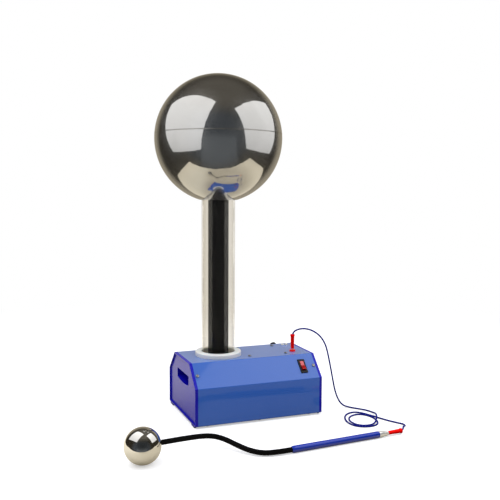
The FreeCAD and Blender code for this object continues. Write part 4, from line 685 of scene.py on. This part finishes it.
def wandFerrule():
    length, bore, foot = ferrule["length"], ferrule["bore"], ferrule["boreFoot"]
    run = [(0, 0), *ferrule["shoulder"]]
    run += [(radius, length - back) for radius, back in ferrule["nose"]]
    run += [(bore, length), (bore, foot), (0, foot)]
    return turnedPiece("wandFerrule", "stand", "plated_stud", run, ["wand_ferrule"], ferrule["around"],
                       setAlong(gripEnd, gripLine))


plug = {
    "standing": (0.15894, 0.05257, 0.129), "gap": 0.001, "around": 80,
    "profile": [
        (0.00202, 0), (0.0031, 0), (0.0035, 0.0004), (0.0037, 0.0010), (0.00425, 0.0275),
        (0.0045, 0.0279), (0.0050, 0.0285), (0.0050, 0.0309), (0.00485, 0.0313), (0.0044, 0.0315),
        (0.0034, 0.0315), (0.0026, 0.0255), (0.00202, 0.0255), (0.00202, 0),
    ],
}


def plugSleeve(name, node, place):
    return turnedPiece(name, "stand", "plug_red", plug["profile"], [node], plug["around"], place)


def wandNeck():
    # tightly wound strands: a lobed section drawn along the neck's line and turned as it goes
    start = ballMiddle + neckLine * (wand["ballRadius"] - wand["inBall"])
    inGrip = gripLine * wand["inGrip"]
    points = [start, *wand["neck"], gripStart - inGrip, gripStart + inGrip]
    curve = softLine("neckLine", points, 0)
    curve.data.bevel_depth = 0
    curve.data.splines[0].resolution_u = wand["lineSteps"]
    line = bpy.data.meshes.new_from_object(curve)
    path = [vertex.co.copy() for vertex in line.vertices]
    bpy.data.objects.remove(curve)

    mesh = bmesh.new()
    radius = wand["neckRadius"]
    ends = bmesh.ops.create_circle(mesh, cap_ends=True, segments=wand["sides"], radius=radius)["verts"]
    depth = wand["groove"] / radius
    for corner in ends:
        angle = math.atan2(corner.co.y, corner.co.x)
        corner.co *= 1 - depth * abs(math.sin(wand["strands"] * angle / 2)) ** wand["grooveEdge"]
    section = [corner.co.copy() for corner in ends]
    rim = mesh.edges[:]
    before, travelled = (path[1] - path[0]).normalized(), 0.0
    turn = setAlong(Vector(), before).to_3x3()
    for step, place in enumerate(path):
        if step:
            travelled += (place - path[step - 1]).length
            ahead = (path[min(step + 1, len(path) - 1)] - path[step - 1]).normalized()
            turn = before.rotation_difference(ahead).to_matrix() @ turn
            before = ahead
            grown = bmesh.ops.extrude_edge_only(mesh, edges=rim)["geom"]
            ends = [part for part in grown if isinstance(part, bmesh.types.BMVert)]
            edges = [part for part in grown if isinstance(part, bmesh.types.BMEdge)]
            rim = [edge for edge in edges if all(end in ends for end in edge.verts)]
        twist = Matrix.Rotation(math.tau * travelled / wand["pitch"], 3, "Z")
        for corner, flat in zip(ends, section):
            corner.co = place + turn @ twist @ flat
    bmesh.ops.contextual_create(mesh, geom=rim)
    bmesh.ops.recalc_face_normals(mesh, faces=mesh.faces)
    return finishedPiece("wandNeck", mesh, "stand", "neck_black", ["wand_neck"], wand["neckSharp"])


wandBall()
wandGrip()
wandFerrule()
wandNeck()
plugSleeve("plugSleeveStanding", "plug_a_sleeve", Matrix.Translation(Vector(plug["standing"])))
plugFoot = gripEnd + gripLine * (ferrule["length"] + plug["gap"])
plugSleeve("plugSleeveLying", "plug_b_sleeve", setAlong(plugFoot, gripLine))
print("wand built")


# lights: two soft boxes that look down on the object from the front corners of a dim room
softBoxes = [
    {"name": "leftBox", "center": (-0.506, 0.059, 0.665), "facing": (0.759, 0.352, -0.545),
     "size": (0.80, 0.83), "strength": (1.0, 1.6)},            # strength at the low and the high edge
    {"name": "rightBox", "center": (0.530, -0.208, 0.688), "facing": (-0.672, 0.581, -0.460),
     "size": (0.85, 0.81), "strength": (1.0, 1.6)},
]


def softBox(look):
    lamp = bpy.data.lights.new(look["name"], "AREA")
    lamp.shape = "RECTANGLE"
    lamp.size, lamp.size_y = look["size"]
    lamp.energy = math.pi * lamp.size * lamp.size_y
    lamp.use_nodes = True
    tree = lamp.node_tree
    across = tree.nodes.new("ShaderNodeNewGeometry").outputs["Parametric"]
    strength = between(tree, splitPlace(tree, across)["Y"], *look["strength"])
    tree.links.new(strength, tree.nodes["Emission"].inputs["Strength"])
    holder = bpy.data.objects.new(look["name"], lamp)
    holder.location = look["center"]
    holder.rotation_euler = Vector(look["facing"]).to_track_quat("-Z", "Y").to_euler()
    holder.visible_camera = False
    holder.visible_transmission = False
    bpy.context.scene.collection.objects.link(holder)


for box in softBoxes:
    softBox(box)


def alongLine(tree, vector, direction):
    # how far a place or direction reaches along another direction
    dot = addNode(tree, "ShaderNodeVectorMath", operation="DOT_PRODUCT")
    tree.links.new(vector, dot.inputs[0])
    dot.inputs[1].default_value = direction
    return dot.outputs["Value"]


def makeRoom():
    # white behind the object for the eye; in reflections a beige wall behind it and a dim room elsewhere
    look = {
        "eye": (1.0, 1.0, 1.0), "ambientLow": (0.05, 0.05, 0.055), "ambientHigh": (1.70, 1.73, 1.82),
        "ambientRise": (0.12, 1), "dim": (0.036, 0.031, 0.022), "ceiling": (0.16, 0.145, 0.12),
        "wall": (0.44, 0.39, 0.295), "front": (0.074, 0.084, 0.096), "window": (0.16, 0.175, 0.19),
        "wallSide": (0.363, 0.932, 0),
        # cosines between which each zone comes in about its own direction, or goes out
        "ceilingReach": (0.55, 0.95), "wallReach": (0.55, 0.85), "frontReach": (0.35, 0.85),
        "windowRight": (0.62, 0.50), "windowLeft": (0.50, 0.40),
        # heights between which the wall and the window fade
        "wallTop": (0.85, 0.20), "windowTop": (0.20, -0.12),
    }
    world = bpy.data.worlds.new("room")
    bpy.context.scene.world = world
    world.use_nodes = True
    world.cycles.sampling_method = "NONE"
    tree = world.node_tree
    tree.nodes.clear()
    place = tree.nodes.new("ShaderNodeTexCoord").outputs["Generated"]
    height = splitPlace(tree, place)["Z"]
    x, y, z = look["wallSide"]

    def about(direction, reach):
        return spread(tree, alongLine(tree, place, Vector(direction).normalized()), *look[reach])

    def both(first, second):
        return arithmetic(tree, "MULTIPLY", first, second)

    wall = both(about((x, y, z), "wallReach"), spread(tree, height, *look["wallTop"]))
    front = about((-x, -y, z), "frontReach")
    sides = both(about((y, -x, z), "windowRight"), about((-y, x, z), "windowLeft"))
    window = both(sides, both(front, spread(tree, height, *look["windowTop"])))
    room = blendColors(tree, front, look["dim"], look["front"])
    room = blendColors(tree, window, room, look["window"])
    room = blendColors(tree, about((0, 0, 1), "ceilingReach"), room, look["ceiling"])
    room = blendColors(tree, wall, room, look["wall"])
    path = tree.nodes.new("ShaderNodeLightPath")
    seen = arithmetic(tree, "MAXIMUM", path.outputs["Is Camera Ray"], path.outputs["Is Transmission Ray"])
    risen = spread(tree, height, *look["ambientRise"], soft=False)
    ambient = blendColors(tree, risen, look["ambientLow"], look["ambientHigh"])
    color = blendColors(tree, path.outputs["Is Glossy Ray"], ambient, room)
    color = blendColors(tree, seen, color, look["eye"])
    shine = tree.nodes.new("ShaderNodeBackground")
    tree.links.new(color, shine.inputs["Color"])
    output = tree.nodes.new("ShaderNodeOutputWorld")
    tree.links.new(shine.outputs[0], output.inputs["Surface"])


makeRoom()


def layFloor():
    # white table top for the eye, fading to plain white far off; cream and with its real edges in reflections,
    # where it carries painted shade near the object and painted light on its left
    look = {
        "size": 8.0, "color": (0.66, 0.66, 0.66), "lift": (0.45, 0.45, 0.45), "fade": (0.8, 1.6),
        "bounce": (0.17, 0.17, 0.17), "dark": (0, 0, 0), "white": (1, 1, 1),
        # in reflections the low glow near the object is painted shade, the glow to its left painted light
        "cream": (0.57, 0.51, 0.385), "paintedShadeNearGlow": (0.05, 0.04, 0.02), "creamLift": (0.50, 0.45, 0.35),
        "paintedLightLeftGlow": (0.36, 0.35, 0.30), "leftReach": (-0.10, -0.30), "glow": (0.30, 0.75),
        "forward": (0.363, 0.932), "front": -0.362, "left": -0.716, "right": 0.884, "soft": 0.008,
        "back": 0.70, "backSoft": 0.04, "bow": 0.45, "bowMiddle": 0.12,
    }
    mesh = bmesh.new()
    bmesh.ops.create_grid(mesh, x_segments=2, y_segments=2, size=look["size"] / 2)
    data = bpy.data.meshes.new("floor")
    mesh.to_mesh(data)
    mesh.free()
    floor = bpy.data.objects.new("floor", data)
    bpy.context.scene.collection.objects.link(floor)
    material = bpy.data.materials.new("white table top")
    material.use_nodes = True
    tree = material.node_tree
    tree.nodes.clear()
    place = objectPlace(tree)

    def matt(color, glow):
        # a matt surface with a little light of its own
        plain = addNode(tree, "ShaderNodeBsdfDiffuse", Color=(*color, 1))
        shine = addNode(tree, "ShaderNodeEmission", Color=(*glow, 1))
        both = tree.nodes.new("ShaderNodeAddShader")
        tree.links.new(plain.outputs[0], both.inputs[0])
        tree.links.new(shine.outputs[0], both.inputs[1])
        return both.outputs[0]

    def within(table, value, edge, soft):
        return arithmetic(tree, "MULTIPLY", table, spread(tree, value, edge - soft, edge + soft))

    ahead, across = look["forward"]
    forward, aside = alongLine(tree, place, (ahead, across, 0)), alongLine(tree, place, (across, -ahead, 0))
    shifted = arithmetic(tree, "SUBTRACT", aside, look["bowMiddle"])
    bow = arithmetic(tree, "MULTIPLY", arithmetic(tree, "MULTIPLY", shifted, shifted), look["bow"])
    bowed = arithmetic(tree, "ADD", forward, bow)
    table = spread(tree, forward, look["front"] - look["soft"], look["front"] + look["soft"])
    table = within(table, aside, look["left"], look["soft"])
    table = within(table, aside, look["right"], -look["soft"])
    table = within(table, bowed, look["back"], -look["backSoft"])
    reach = addNode(tree, "ShaderNodeVectorMath", operation="LENGTH")
    tree.links.new(place, reach.inputs[0])
    away = reach.outputs["Value"]
    plain, white = matt(look["color"], look["lift"]), matt(look["dark"], look["white"])
    eye = blendShaders(tree, spread(tree, away, *look["fade"]), plain, white)
    # painted shade and light in reflections: the table's glow is painted low near the object on its right,
    # higher to its left and higher still far off
    near = blendShaders(tree, spread(tree, aside, *look["leftReach"]),
                        matt(look["cream"], look["paintedShadeNearGlow"]), matt(look["cream"], look["paintedLightLeftGlow"]))
    cream = blendShaders(tree, spread(tree, away, *look["glow"]), near, matt(look["cream"], look["creamLift"]))
    beyond = tree.nodes.new("ShaderNodeBsdfTransparent").outputs[0]
    mirror = blendShaders(tree, table, beyond, cream)
    path = tree.nodes.new("ShaderNodeLightPath").outputs
    mirrored = arithmetic(tree, "SUBTRACT", path["Is Glossy Ray"], path["Is Transmission Ray"])
    surface = blendShaders(tree, mirrored, eye, mirror)
    surface = blendShaders(tree, path["Is Diffuse Ray"], surface, matt(look["bounce"], look["dark"]))
    output = tree.nodes.new("ShaderNodeOutputMaterial")
    tree.links.new(surface, output.inputs["Surface"])
    data.materials.append(material)


layFloor()
bpy.context.scene.view_settings.view_transform = "Standard"
print("light and floor set")

bpy.context.view_layer.update()
